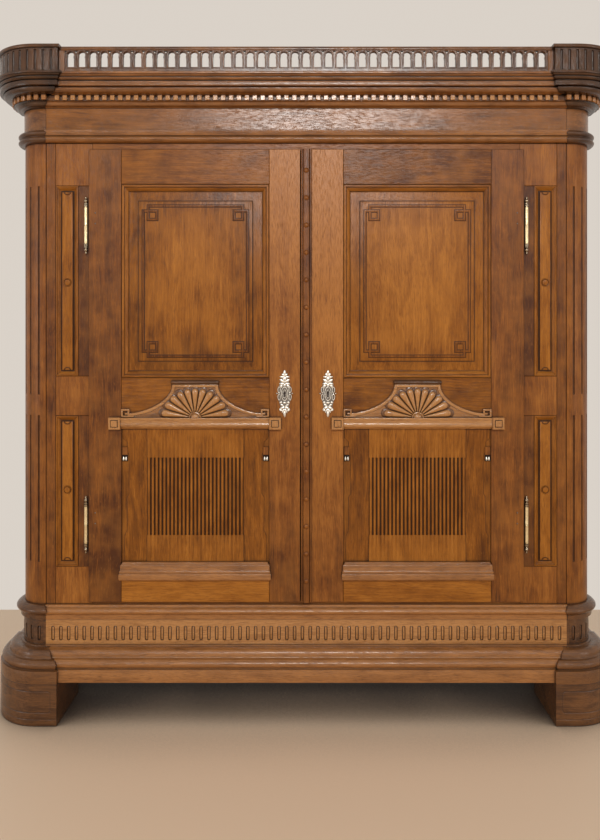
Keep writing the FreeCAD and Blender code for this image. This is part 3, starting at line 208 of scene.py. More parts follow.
def mirrored(shape: Shape) -> Shape:
    """The same shape on the other side of the cabinet."""
    return Shape(shape.points * (-1, 1, 1), shape.faces, shape.grain, shape.tone)


def seed_of(name: str) -> np.random.Generator:
    """Random numbers that depend only on a name."""
    return np.random.default_rng(zlib.crc32(name.encode()))


def wood(shape: Shape, grain: Grain, board: str, tone: float = 0.0) -> Shape:
    """Says how the fibres run through a shape and how light its board is.

    Args:
        shape: the shape, changed in place.
        grain: the way that the fibres run.
        board: a name that gives each board its own piece of the pattern.
        tone: how much lighter (+) or darker (-) the board is.

    Returns:
        The shape.
    """
    axis = grain.value
    if grain is LONGEST:
        axis = int(np.argmax(np.ptp(shape.points, axis=0)))
    order = {0: (0, 2, 1), 1: (1, 2, 0), 2: (2, 0, 1)}[axis]
    random = seed_of(board)
    shape.grain = shape.points[:, order] + random.uniform(0, 9000, 3)
    shape.tone = np.full(len(shape.points), tone + random.uniform(-0.12, 0.12))
    return shape


def storey(shares: Sequence, reach: float, bottom: float, height: float, steps: int = 8) -> Array:
    """Outline of one storey of a moulding as (reach, height) points.

    A run swells sideways by 4 times its swell times s times (1 - s) of its length.

    Args:
        shares: outline points as shares of the reach and height, with their swell.
        reach: how far the storey stands out.
        bottom: height of its foot.
        height: its own height.
        steps: points on a run that swells.

    Returns:
        (n, 2) points from the foot up.
    """
    table = np.array(shares, float)
    place = table[:, :2] * (reach, height)
    start = place[:-1]
    run = place[1:] - start
    swell = table[:-1, 2]
    along = np.arange(steps) / steps
    bow = 4 * swell[:, None] * along * (1 - along)
    aside = np.stack([run[:, 1], -run[:, 0]], -1)
    points = start[:, None] + run[:, None] * along[None, :, None] + bow[..., None] * aside[:, None]
    kept = (along[None, :] == 0) | (swell[:, None] != 0)
    return np.concatenate([points[kept], place[-1:]]) + (0, bottom)


def softened(loop: Array, radius: float = 1.2, steps: int = 3) -> Array:
    """Rounds the corners of a closed outline with short quadratic curves.

    Each corner P becomes (1-s)^2 A + 2s(1-s) P + s^2 C, where A and C lie on its two sides.

    Args:
        loop: (n, 2) points of the outline.
        radius: the most that a curve takes from a side.
        steps: points on each curve.

    Returns:
        The rounded outline.
    """
    loop = loop[np.linalg.norm(loop - np.roll(loop, 1, 0), axis=1) > 1e-6]
    back, ahead = np.roll(loop, 1, 0) - loop, np.roll(loop, -1, 0) - loop
    shorter = np.minimum(np.linalg.norm(back, axis=1), np.linalg.norm(ahead, axis=1))
    cut = np.minimum(radius, 0.4 * shorter)[:, None]
    back, ahead = unit(back), unit(ahead)
    first, last = (loop + back * cut)[:, None], (loop + ahead * cut)[:, None]
    s = np.linspace(0, 1, steps)[None, :, None]
    curve = (1 - s) ** 2 * first + 2 * s * (1 - s) * loop[:, None] + s ** 2 * last
    sharp = -(back * ahead).sum(1) < math.cos(math.radians(14))
    curve[~sharp] = loop[~sharp][:, None]
    return curve[sharp[:, None] | (np.arange(steps) == 0)]


def backed(outlines: Sequence[Array], back: float) -> Array:
    """Closed, softened outline of a stack of storeys with a flat back at a reach of `back`."""
    front = np.concatenate(outlines)
    ends = np.array([[back, front[-1, 1]], [back, front[0, 1]]])
    return softened(np.concatenate([front, ends]))


def swept(loop: Array, start: float, end: float, axis: int) -> Shape:
    """Straight run of a closed outline along an axis, whose columns are the other two places."""
    points = np.insert(np.stack([loop, loop]), axis, 0.0, axis=-1)
    points[..., axis] += np.array([start, end])[:, None]
    return lattice(points)


def along_x(loop: Array, x0: float = -AT.seam, x1: float = AT.seam) -> Shape:
    """Straight moulding along the front, between its corner pieces or other ends."""
    return swept(loop * (-1, 1) + (AT.front, 0), x0, x1, 0)


def along_y(loop: Array) -> Shape:
    """Straight moulding along the left side, from its corner piece to the back."""
    return swept(loop * (-1, 1) - (AT.half_width, 0), AT.side_start, AT.back, 1)


def upright(outline: Array, y: float) -> Array:
    """An outline of (x, z) points as places at a depth."""
    return points_at(outline[:, 0], y, outline[:, 1])


def rings(places: Sequence) -> Array:
    """Rings of points, one for each (x, y, z)."""
    return np.stack([points_at(*place) for place in places])


def repeated(tile: Array, centres: Array) -> Array:
    """Copies of a tile's rings at places along their first axis."""
    return tile + np.asarray(centres)[:, None, None, None] * (1, 0, 0)


def spaced(length: float, pitch: float) -> Array:
    """Places about 0 of as many pieces as fit a length at a pitch."""
    count = int(length / pitch)
    return (np.arange(count) - (count - 1) / 2) * pitch


def arm_length(reach: Array | float) -> Array:
    """Length of a corner piece's straight arm beyond its quarter turn, at a reach."""
    return np.maximum(AT.land, reach - (AT.setback - AT.land))


def round_corner(loop: Array, board: str, tone: float = 0.0, inner: float = 52.0, steps: int = 20) -> Shape:
    """Left corner piece of a moulding: its outline turned about the corner's centre.

    Station k of the path is a point (x, y) that depends on the reach r of each outline
    point: the centre plus (radius + r) times the direction of the turn, and straight
    arms of arm_length(r), which end in returns that go back into the carcass.

    Args:
        loop: closed outline of (reach, height) points.
        board: name of its board.
        tone: tone of the wood.
        inner: how far the returned ends go back.
        steps: facets of the quarter turn.

    Returns:
        The closed left corner piece, with its grain along the turn.
    """
    reach, height = loop.T
    arm = arm_length(reach)
    angle = np.linspace(0, math.pi / 2, steps + 1)[:, None]
    x = np.concatenate([
        [arm - AT.turn_x] * 2, -AT.turn_x - (AT.radius + reach) * np.sin(angle),
        [-AT.half_width - reach, inner - AT.half_width + 0 * reach]])
    y = np.concatenate([
        [AT.front + inner + 0 * reach, AT.front - reach],
        AT.turn_y - (AT.radius + reach) * np.cos(angle), [AT.turn_y + arm] * 2])
    shape = wood(lattice(points_at(x, y, height)), ACROSS, board, tone)
    middle = len(loop) // 3
    along = np.cumsum(np.hypot(np.diff(x[:, middle]), np.diff(y[:, middle])))
    offset = seed_of(board).uniform(0, 9000)
    shape.grain[:, 0] = np.repeat(np.append(0, along), len(loop)) + offset
    return shape


def corner_plan(reach: Array | float, along: Array) -> tuple[Array, Array]:
    """Points and outward normals of a corner block's outline in plan.

    Args:
        reach: how far the block stands out.
        along: distance from the end of its front arm, round to the end of its side arm.

    Returns:
        (n, 2) points and (n, 2) normals.
    """
    arm, radius = arm_length(reach), AT.radius + reach
    angle = np.clip((along - arm) / radius, 0, math.pi / 2)
    normal = np.stack([-np.sin(angle), -np.cos(angle)], -1)
    lead = np.maximum(arm - along, 0)
    over = np.maximum(along - arm - radius * math.pi / 2, 0)
    return radius * normal + np.stack([lead - AT.turn_x, over + AT.turn_y], -1), normal


def corner_length(reach: float) -> float:
    """Length of a corner block's outline in plan."""
    return 2 * float(arm_length(reach)) + (AT.radius + reach) * math.pi / 2


def corner_block(
        reach: float, along: Array, heights: Array, depth: Callable[[Array, Array], Array],
        board: str, tone: float = 0.0, grain: Grain = UPRIGHT, hollow: float = 0.0) -> Shape:
    """Left corner block, closed, whose face sinks by a depth worked out at every point.

    Args:
        reach: how far the block stands out.
        along, heights: distances round its outline, and heights of its rows.
        depth: function of distance and height that gives how far the face is sunk.
        board: name of its board.
        tone: tone of the wood.
        grain: the way that the fibres run.
        hollow: 0 for square inner sides, or how thick its ends are under a slanting back.

    Returns:
        The left block.
    """
    s, z = np.meshgrid(along, heights)
    place, normal = corner_plan(reach, s)
    sunk = depth(s, z)
    inner_x, inner_y = arm_length(reach) - AT.turn_x, AT.turn_y + arm_length(reach)
    corners = np.array([(inner_x, inner_y)])
    if hollow:
        corners = np.array([
            (hollow - AT.half_width - reach, inner_y), (inner_x, AT.front - reach + hollow)])
    inner = points_at(*corners.T, heights[:, None])
    face = np.dstack([place - normal * sunk[..., None], z])
    shape = wood(lattice(np.concatenate([face, inner], 1)), grain, board, tone)
    extra = np.zeros(inner.shape[:2])
    around = np.concatenate([s, s[:, -1:] + AT.land + extra], 1).ravel()
    shape.grain[:, 0 if grain is ACROSS else 1] = around + seed_of(board).uniform(0, 9000)
    # Painted shade: the face is darker where it is sunk deeper.
    shape.tone -= GROOVE_SHADE * np.clip(np.concatenate([sunk, extra], 1).ravel(), 0, 2.5)
    return shape


def bumpy(values: Array, centres: Array, half: float) -> Array:
    """Round groove section: 1 at a centre, falling to 0 at half its width away."""
    gap = np.abs(values[..., None] - centres).min(-1)
    return np.sqrt(np.clip(1 - (gap / half) ** 2, 0, 1))


def eased(values: Array, start: float, end: float, ease: float) -> Array:
    """Window that rises from 0 to 1 inside start and end over a short round ease."""
    inside = np.minimum(values - start, end - values)
    share = np.clip(inside / ease, 0, 1)
    return np.sqrt(1 - (1 - share) ** 2)


def rows_for(start: float, end: float, stops: Sequence[tuple[float, float]], ease: float) -> Array:
    """Heights for a face with flutes: close together where a flute ends."""
    steps = ease * np.array([0.0, 0.08, 0.25, 0.5, 0.75, 1.0])
    levels = [np.append(foot + steps, head - steps) for foot, head in stops]
    return np.unique(np.round(np.concatenate([[start, end], *levels]), 4))


def columns_for(length: float, centres: Array, half: float, extra: Array) -> Array:
    """Distances for a fluted face: close together across each flute."""
    across = half * np.array([-1.0, -0.92, -0.7, -0.35, 0.0, 0.35, 0.7, 0.92, 1.0])
    values = np.concatenate([[0, length], (centres[:, None] + across).ravel(), extra])
    return np.unique(np.round(np.clip(values, 0, length), 4))


BLOCK_SIGNS = np.array([(x, y, z) for x in (-1, 1) for y in (-1, 1) for z in (-1, 1)])


def block_faces() -> list:
    """Faces of a block with chamfered edges.

    Corner number 4x + 2y + z has x, y and z of 0 or 1, and its point that lies on the face
    across axis a is 3 times that number plus a.
    """
    faces = []
    for axis in range(3):
        one, two = (axis + 1) % 3, (axis + 2) % 3
        ring = [3 * ((4 >> one) * a + (4 >> two) * b) for a, b in ((0, 0), (1, 0), (1, 1), (0, 1))]
        step = 3 * (4 >> axis)
        faces += [[start + side + axis for start in ring] for side in (0, step)]
        faces += [[start + one, start + step + one, start + step + two, start + two] for start in ring]
    return faces + [[3 * corner, 3 * corner + 1, 3 * corner + 2] for corner in range(8)]


BLOCK_FACES = block_faces()


def blocks(lows: Array, highs: Array, soft: float = 0.8) -> Shape:
    """Blocks with chamfered edges between pairs of corners.

    Args:
        lows, highs: (n, 3) lowest and highest corners, or one corner each.
        soft: width of the chamfers.

    Returns:
        The blocks.
    """
    lows, highs = np.array(lows, float, ndmin=2), np.array(highs, float, ndmin=2)
    middle, half = (lows + highs)[:, None, None] / 2, (highs - lows)[:, None, None] / 2
    points = middle + BLOCK_SIGNS[:, None] * (half - soft * (1 - np.eye(3)))
    faces = BLOCK_FACES
    faces = [[start + corner for corner in face] for start in range(0, 24 * len(lows), 24) for face in faces]
    return Shape(points.reshape(-1, 3), faces)


def board(name: str, lo: Sequence, hi: Sequence, grain: Grain, tone: float = 0.0, soft: float = 1.3) -> Shape:
    """One plain board."""
    return wood(blocks(lo, hi, soft), grain, name, tone)


def mitred(
        name: str, x0: float, x1: float, z0: float, z1: float, loop: Array, tone: float = 0.0) -> list:
    """Four mitred bars round a rectangle.

    Args:
        name: name of the frame, which its boards' names start with.
        x0, x1, z0, z1: its left, right, lower and upper edges.
        loop: closed outline of (inset, y) points.
        tone: tone of the wood.

    Returns:
        The four bars, each with its grain along it.
    """
    inset, depth = loop.T
    left, right, lower, upper = x0 + inset, x1 - inset, z0 + inset, z1 - inset
    sides = (
        (left, left, lower, upper, UPRIGHT), (right, right, lower, upper, UPRIGHT),
        (left, right, lower, lower, ACROSS), (left, right, upper, upper, ACROSS))
    return [
        wood(lattice(rings([(xa, depth, za), (xb, depth, zb)])), grain, f"{name}{number}", tone)
        for number, (xa, xb, za, zb, grain) in enumerate(sides)]


def tray(x0: float, x1: float, z0: float, z1: float, steps: Sequence[tuple[float, float]]) -> Shape:
    """Rectangular panel worked in steps, each an inset from its edge and a y place."""
    inset, depth = np.array(steps, float).T[..., None]
    x_sign, z_sign = np.array([1, -1, -1, 1]), np.array([1, 1, -1, -1])
    x, z = np.array([x0, x1, x1, x0]) + x_sign * inset, np.array([z0, z0, z1, z1]) + z_sign * inset
    return lattice(points_at(x, depth, z))


def relief(xs: Array, zs: Array, face: Callable[[Array, Array], Array], back: float) -> Shape:
    """Closed board whose face is a function of place: y = face(x, z).

    Args:
        xs, zs: columns and rows of the face.
        face: gives y over the grid.
        back: y of its flat back.

    Returns:
        The board.
    """
    x, z = np.meshgrid(xs, zs)
    points = np.pad(points_at(x, face(x, z), z), ((1, 1), (1, 1), (0, 0)), mode="edge")
    points[[0, -1], :, 1] = back
    points[:, [0, -1], 1] = back
    return lattice(points, caps=False)


def turned(radii: Sequence, heights: Sequence, x: float, y: float, sides: int = 20) -> Shape:
    """Piece turned about an upright axis: radius as a function of height."""
    angle = TURN * np.arange(sides) / sides
    radius, z = np.array([radii, heights], float)[..., None]
    return lattice(points_at(x + radius * np.cos(angle), y + radius * np.sin(angle), z))


def disc(x: float, z: float, radii: Sequence, depths: Sequence, sides: int = 20) -> Shape:
    """Round piece that faces the front: a ring of points at each radius and y place."""
    angle = TURN * np.arange(sides) / sides
    radius, y = np.array([radii, depths], float)[..., None]
    return lattice(points_at(x + radius * np.cos(angle), y, z + radius * np.sin(angle)))


def ribbon(path: Array, width: float, height: float, front: float, closed: bool = False) -> Shape:
    """Raised band on a flat face, along a path, with rounded upper edges.

    Its section runs across the path from one side to the other at share c of the half
    width and share h of the height, and widens at corners as a mitre does.

    Args:
        path: (n, 2) points (x, z) of its middle line.
        width, height: its size across and off the face.
        front: y of the face that it stands on.
        closed: the path joins its own start.

    Returns:
        The band.
    """
    before, after = np.roll(path, 1, 0), np.roll(path, -1, 0)
    if not closed:
        before[0], after[-1] = 2 * path[0] - path[1], 2 * path[-1] - path[-2]
    inward, outward = unit(path - before), unit(after - path)
    middle = unit(inward + outward)
    stretch = 1 / np.clip((middle * inward).sum(1), 0.5, 1)
    aside = np.stack([-middle[:, 1], middle[:, 0]], -1) * stretch[:, None]
    across = np.array([-1, -1, -0.82, -0.45, 0.45, 0.82, 1, 1]) * width / 2
    rise = np.array([-0.3, 0.55, 0.9, 1, 1, 0.9, 0.55, -0.3]) * height
    place = path[:, None] + aside[:, None] * across[:, None]
    return lattice(points_at(place[..., 0], front - rise, place[..., 1]), ring=closed)


def cad_islands(node: str, soft: float) -> list:
    """Separate solids of a CAD node as shapes, cleaned and with bevelled edges.

    Args:
        node: name of the node, which is copied and left as it is.
        soft: width of the bevels in millimetres.

    Returns:
        One shape for each solid.
    """
    work = bmesh.new()
    work.from_mesh(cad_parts[node].data)
    bmesh.ops.remove_doubles(work, verts=work.verts, dist=1e-5)
    bmesh.ops.dissolve_limit(work, angle_limit=math.radians(0.5), verts=work.verts, edges=work.edges)
    if soft:
        sharp = [edge for edge in work.edges if edge.calc_face_angle(0.0) > math.radians(25)]
        bmesh.ops.bevel(
            work, geom=sharp, offset=soft * MM, segments=1, profile=0.5, affect="EDGES",
            clamp_overlap=True)
    work.verts.index_update()
    points = np.clip(np.array([vertex.co for vertex in work.verts]) / MM, low(node), high(node))
    first, second = np.array([[end.index for end in edge.verts] for edge in work.edges]).T
    faces = [[vertex.index for vertex in face.verts] for face in work.faces]
    work.free()
    label, before = np.arange(len(points)), None
    while before is None or (label != before).any():
        before = label.copy()
        least = np.minimum(label[first], label[second])
        np.minimum.at(label, first, least)
        np.minimum.at(label, second, least)
    islands = []
    for value in np.unique(label):
        members = np.flatnonzero(label == value)
        own = [np.searchsorted(members, face).tolist() for face in faces if label[face[0]] == value]
        islands.append(Shape(points[members], own))
    return islands


class Wiring:
    """Short calls that add nodes to a shader tree and join them."""

    def __init__(self, tree: NodeTree) -> None:
        """Keeps the tree that nodes go into."""
        self.tree = tree

    def add(self, kind: str, inputs: dict | None = None, **settings) -> Node:
        """Adds a node, gives it its settings and puts values or links into its inputs."""
        node = self.tree.nodes.new("ShaderNode" + kind)
        for key, value in settings.items():
            setattr(node, key, value)
        self.fill(node, inputs or {})
        return node

    def fill(self, node: Node, inputs: dict) -> None:
        """Puts values or links into inputs, which are given by name or number."""
        for key, value in inputs.items():
            if isinstance(value, NodeSocket):
                self.tree.links.new(value, node.inputs[key])
            else:
                node.inputs[key].default_value = value

    def math(self, operation: str, first: Plug, second: Plug = 0.0, third: Plug = 0.0) -> NodeSocket:
        """Adds a sum of up to three values."""
        return self.add("Math", {0: first, 1: second, 2: third}, operation=operation).outputs[0]

    def scale(self, vector: Plug, factors: tuple) -> NodeSocket:
        """Multiplies a vector by three factors."""
        return self.add("VectorMath", {0: vector, 1: factors}, operation="MULTIPLY").outputs[0]

    def noise(self, vector: Plug, scale: float, detail: float = 3.0, warp: float = 0.0) -> NodeSocket:
        """Adds a noise pattern and gives its value."""
        node = self.add("TexNoise", {"Vector": vector, "Scale": scale, "Detail": detail, "Distortion": warp})
        return node.outputs["Fac"]

    def spread(
            self, value: Plug, low_end: float, high_end: float, to_low: float = 0.0,
            to_high: float = 1.0) -> NodeSocket:
        """Maps a range of a value onto another, clamped."""
        return self.add("MapRange", {
            "Value": value, "From Min": low_end, "From Max": high_end, "To Min": to_low,
            "To Max": to_high}).outputs["Result"]

    def blend(self, share: Plug, first: Plug, second: Plug) -> NodeSocket:
        """Mixes two colours."""
        return self.add("Mix", {0: share, 6: first, 7: second}, data_type="RGBA").outputs[2]


def group(name: str, inputs: dict, outputs: dict) -> tuple[NodeTree, Wiring, dict, Node]:
    """Starts a shader node group.

    Args:
        name: its name.
        inputs: socket names and kinds that it takes.
        outputs: socket names and kinds that it gives.

    Returns:
        The group, its wiring, its input sockets by name, and its output node.
    """
    tree = bpy.data.node_groups.new(name, "ShaderNodeTree")
    for way, sockets in (("INPUT", inputs), ("OUTPUT", outputs)):
        for label, kind in sockets.items():
            tree.interface.new_socket(label, in_out=way, socket_type="NodeSocket" + kind)
    entry = tree.nodes.new("NodeGroupInput")
    result = tree.nodes.new("NodeGroupOutput")
    return tree, Wiring(tree), {socket.name: socket for socket in entry.outputs}, result


def oak_group() -> NodeTree:
    """Oak figure: broad bands and fine streaks along the grain, open pores and blotched wax.

    The figure is 0.5 plus each pattern's difference from 0.5 times its weight, plus the
    board's tone; a wandering shift bends the patterns that follow the fibres.
    """
    tree, w, take, result = group(
        "oak figure",
        {"Grain": "Vector", "Tone": "Float", "Dark": "Color", "Middle": "Color", "Light": "Color"},
        {"Color": "Color", "Height": "Float", "Polish": "Float"})
    place = take["Grain"]
    wander = w.noise(w.scale(place, (1.1, 3.0, 3.0)), 1.6, 2.0)
    shift = w.add("CombineXYZ", {"Y": w.math("MULTIPLY", w.math("SUBTRACT", wander, 0.5), 0.06)})
    fibre = w.add("VectorMath", {0: place, 1: shift.outputs[0]}, operation="ADD").outputs[0]
    patterns = {
        "bands": (fibre, 0.9, 22.0, 3.0, 0.3, 0.50), "streaks": (fibre, 4.0, 150.0, 3.0, 0.0, 0.42),
        "lines": (fibre, 14.0, 430.0, 2.0, 0.0, 0.75), "blotch": (place, 3.0, 6.5, 4.0, 0.6, 0.34),
        "mottle": (place, 9.0, 34.0, 5.0, 1.0, 0.88), "pores": (fibre, 45.0, 950.0, 2.0, 0.0, 0.0),
        "flecks": (fibre, 60.0, 210.0, 2.0, 0.5, 0.0)}
    found, value = {}, 0.5
    for name, (vector, along, across, detail, warp, weight) in patterns.items():
        found[name] = w.noise(w.scale(vector, (along, across, across)), 1.0, detail, warp)
        if weight:
            value = w.math("MULTIPLY_ADD", w.math("SUBTRACT", found[name], 0.5), weight, value)
    pore = w.spread(found["pores"], 0.54, 0.64)
    fleck = w.spread(found["flecks"], 0.60, 0.70)
    value = w.math("ADD", value, take["Tone"])
    colour = w.blend(w.spread(value, 0.10, 0.50), take["Dark"], take["Middle"])
    colour = w.blend(w.spread(value, 0.50, 0.95), colour, take["Light"])
    colour = w.blend(w.math("MULTIPLY", fleck, 0.22), colour, take["Light"])
    w.fill(result, {
        "Color": w.blend(w.math("MULTIPLY", pore, 0.60), colour, take["Dark"]),
        "Height": w.math("MULTIPLY_ADD", pore, -0.6, w.math("MULTIPLY", found["streaks"], 0.5)),
        "Polish": w.math("MULTIPLY_ADD", pore, 0.25, w.math("MULTIPLY", found["blotch"], 0.35))})
    return tree


def age_and_shade_group() -> NodeTree:
    """Painted shade in hollows, where old wax also gathers, and rubbed edges, from how open each place is."""
    tree, w, take, result = group(
        "age", {"Place": "Vector", "Reach": "Float"}, {"Hollow": "Float", "Edge": "Float"})
    open_sky = w.add("AmbientOcclusion", {"Distance": take["Reach"]}, samples=6)
    within = w.add("AmbientOcclusion", {"Distance": 0.0022}, samples=4, inside=True)
    patch = w.noise(w.scale(take["Place"], (14.0, 14.0, 14.0)), 1.0, 3.0)
    # Painted shade: the less open a place is, the darker it is made.
    hollow = w.spread(open_sky.outputs["AO"], 0.86, 0.48)
    edge = w.spread(within.outputs["AO"], 0.55, 0.95)
    w.fill(result, {
        "Hollow": w.math("MULTIPLY", hollow, w.spread(patch, 0.25, 0.75, 0.75, 1.0)),
        "Edge": w.math("MULTIPLY", edge, w.spread(patch, 0.35, 0.7))})
    return tree


@functools.cache
def shared(builder: Callable[[], NodeTree]) -> NodeTree:
    """The group that a builder makes, built once."""
    return builder()


def new_material(name: str) -> tuple[Material, Wiring, Node]:
    """A new material with its wiring and its shader."""
    material = bpy.data.materials.new(name)
    material.use_nodes = True
    return material, Wiring(material.node_tree), material.node_tree.nodes["Principled BSDF"]


def aged_and_shaded(w: Wiring, place: NodeSocket, reach: float) -> Node:
    """Adds the group of age and painted shade."""
    return w.add("Group", {"Place": place, "Reach": reach}, node_tree=shared(age_and_shade_group))


def bump(w: Wiring, height: NodeSocket, strength: float, depth: float) -> NodeSocket:
    """Normal of a surface that a height raises."""
    return w.add("Bump", {"Height": height, "Strength": strength, "Distance": depth}).outputs["Normal"]


@dataclass(frozen=True)
class OakFinish:
    """Waxed oak: three tones of wood, its hollows darkened by old wax and painted shade, and its gloss."""

    name: str
    slot: str
    dark: tuple
    middle: tuple
    light: tuple
    # Colour that hollows darken to, and how strongly: old wax together with painted shade.
    wax: tuple = (0.011, 0.0045, 0.002)
    hollow_wax_and_shade: float = 0.95
    rub: float = 0.35
    roughness: float = 0.34
    reach: float = 0.008
    shine: float = 0.32

    def material(self) -> Material:
        """Builds the material."""
        material, w, shader = new_material(self.name)
        grain, tone = [w.add("Attribute", attribute_name=name).outputs for name in ("grain", "tone")]
        figure = w.add("Group", {
            "Grain": grain["Vector"], "Tone": tone["Fac"], "Dark": (*self.dark, 1),
            "Middle": (*self.middle, 1), "Light": (*self.light, 1)}, node_tree=shared(oak_group))
        age = aged_and_shaded(w, w.add("TexCoord").outputs["Object"], self.reach)
        edge = w.math("MULTIPLY", age.outputs["Edge"], self.rub)
        colour = w.blend(edge, figure.outputs["Color"], (*self.light, 1))
        # Painted shade in hollows, with the old wax that gathers there.
        hollow = w.math("MULTIPLY", age.outputs["Hollow"], self.hollow_wax_and_shade)
        # Tone far below zero turns to the same dark colour: dark corner pieces, and lines of painted shade.
        hollow = w.math("MAXIMUM", hollow, w.spread(tone["Fac"], -0.5, -1.7, 0.0, 0.92))
        rough = w.math("MULTIPLY_ADD", figure.outputs["Polish"], 0.22, self.roughness - 0.04)
        w.fill(shader, {
            "Base Color": w.blend(hollow, colour, (*self.wax, 1)),
            "Roughness": w.math("MULTIPLY_ADD", hollow, 0.3, rough),
            "Specular IOR Level": self.shine,
            "Normal": bump(w, figure.outputs["Height"], 0.35, 0.0006)})
        return material


@dataclass(frozen=True)
class MetalFinish:
    """Metal with tarnish in its hollows and a worn, uneven polish."""

    name: str
    slot: str
    colour: tuple
    tarnish: tuple
    roughness: float
    reach: float = 0.004

    def material(self) -> Material:
        """Builds the material."""
        material, w, shader = new_material(self.name)
        place = w.add("TexCoord").outputs["Object"]
        age = aged_and_shaded(w, place, self.reach)
        cloud = w.noise(place, 160.0, 3.0)
        tarnish = (*self.tarnish, 1)
        colour = w.blend(w.spread(cloud, 0.35, 0.75, 0.0, 0.35), (*self.colour, 1), tarnish)
        w.fill(shader, {
            "Base Color": w.blend(age.outputs["Hollow"], colour, tarnish), "Metallic": 1.0,
            "Roughness": w.spread(cloud, 0.3, 0.7, self.roughness - 0.06, self.roughness + 0.12),
            "Normal": bump(w, cloud, 0.15, 0.0003)})
        return material


class Finish(Enum):
    """Every finish on the cabinet."""

    FRAME = OakFinish(
        "oak frame", "oak_frame", (0.075, 0.019, 0.002), (0.225, 0.068, 0.007), (0.43, 0.16, 0.026))
    PANEL = OakFinish(
        "oak panel", "oak_panel", (0.095, 0.026, 0.002), (0.265, 0.084, 0.006), (0.46, 0.172, 0.022),
        roughness=0.3, shine=0.26)
    MOULDING = OakFinish(
        "oak moulding", "oak_moulding", (0.062, 0.02, 0.006), (0.205, 0.074, 0.017),
        (0.41, 0.17, 0.048), roughness=0.21, shine=0.6)
    DARK = OakFinish(
        "dark oak", "oak_moulding", (0.022, 0.008, 0.003), (0.076, 0.028, 0.009),
        (0.2, 0.08, 0.024), roughness=0.2, shine=0.5)
    CARVED = OakFinish(
        "carved oak", "oak_carved", (0.105, 0.034, 0.007), (0.29, 0.112, 0.024),
        (0.5, 0.23, 0.07), roughness=0.17, shine=0.7)
    POLISHED = OakFinish(
        "polished oak", "oak_panel", (0.07, 0.022, 0.003), (0.215, 0.072, 0.008),
        (0.4, 0.15, 0.026), roughness=0.23, shine=0.5)
    INSIDE = OakFinish(
        "plain oak", "oak_inside", (0.16, 0.08, 0.034), (0.33, 0.19, 0.09),
        (0.48, 0.31, 0.165), hollow_wax_and_shade=0.5, roughness=0.52)
    BRASS = MetalFinish(
        "brass", "brass", (0.9, 0.76, 0.47), (0.35, 0.21, 0.08), 0.34)
    BRONZE = MetalFinish("dark brass", "brass", (0.43, 0.35, 0.25), (0.02, 0.015, 0.01), 0.17)
    PALE_BRASS = MetalFinish(
        "pale brass", "escutcheon_metal", (0.93, 0.9, 0.83), (0.11, 0.07, 0.035), 0.3, 0.0035)
    IRON = MetalFinish("iron", "iron", (0.23, 0.215, 0.2), (0.06, 0.045, 0.035), 0.45)


class Bench:
    """Turns shapes into finished pieces that ride on the cabinet's bodies."""

    def __init__(self) -> None:
        """Starts with no materials made."""
        self.materials: dict = {}

    def material(self, finish: Finish) -> Material:
        """The material of a finish, made once."""
        if finish not in self.materials:
            self.materials[finish] = finish.value.material()
        return self.materials[finish]

    def fix(
            self, name: str, shapes: Sequence[Shape] | Shape, finish: Finish, body: str,
            *nodes: str, sharp: float = 34.0) -> Object:
        """Makes one piece, sets it on its body and lets it stand for CAD nodes.

        Args:
            name: name of the piece.
            shapes: what it is made of.
            finish: its finish.
            body: body that it rides on.
            nodes: CAD nodes that it stands for.
            sharp: angle in degrees over which an edge is shaded sharp.

        Returns:
            The piece.
        """
        shape = joined([shapes] if isinstance(shapes, Shape) else shapes)
        mesh = bpy.data.meshes.new(name)
        mesh.from_pydata(shape.points * MM, [], shape.faces)
        for label, kind, key, values in (
                ("grain", "FLOAT_VECTOR", "vector", shape.grain * MM),
                ("tone", "FLOAT", "value", shape.tone)):
            mesh.attributes.new(label, kind, "POINT").data.foreach_set(key, values.ravel())
        work = bmesh.new()
        work.from_mesh(mesh)
        bmesh.ops.recalc_face_normals(work, faces=work.faces)
        work.to_mesh(mesh)
        work.free()
        mesh.polygons.foreach_set("use_smooth", np.ones(len(mesh.polygons), bool))
        mesh.set_sharp_from_angle(angle=math.radians(sharp))
        mesh.materials.append(self.material(finish))
        piece = bpy.data.objects.new(name, mesh)
        bpy.context.scene.collection.objects.link(piece)
        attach(piece, body)
        if nodes:
            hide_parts(*nodes)
        log.info("%s: %d faces on %s", name, len(mesh.polygons), body)
        return piece

    def fix_all(self, body: str, table: Sequence) -> None:
        """Fixes pieces to one body, each given by name, shapes, finish and CAD node or None."""
        for name, shapes, finish, node in table:
            self.fix(name, shapes, finish, body, *([node] if node else []))

    def copy(
            self, node: str, finish: Finish, body: str, soft: float = 0.8, tone: float = 0.0,
            grain: Grain = LONGEST) -> Object:
        """Dresses a CAD node whose shape is right: the same solids with softened edges."""
        shapes = [
            wood(island, grain, f"{node}{number}", tone)
            for number, island in enumerate(cad_islands(node, soft))]
        return self.fix(node + "_wood", shapes, finish, body, node)

    def repaint(self, node: str, finish: Finish) -> None:
        """Gives a CAD node that stays a finish of its own."""
        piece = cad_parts[node]
        piece.data.materials.clear()
        piece.data.materials.append(self.material(finish))


def both(shape: Shape, name: str) -> list:
    """A left shape and its mirror image, each from its own board."""
    random = seed_of(name)
    other = mirrored(shape)
    other.grain = shape.grain + random.uniform(0, 5000, 3)
    other.tone = shape.tone + random.uniform(-0.06, 0.06)
    return [shape, other]


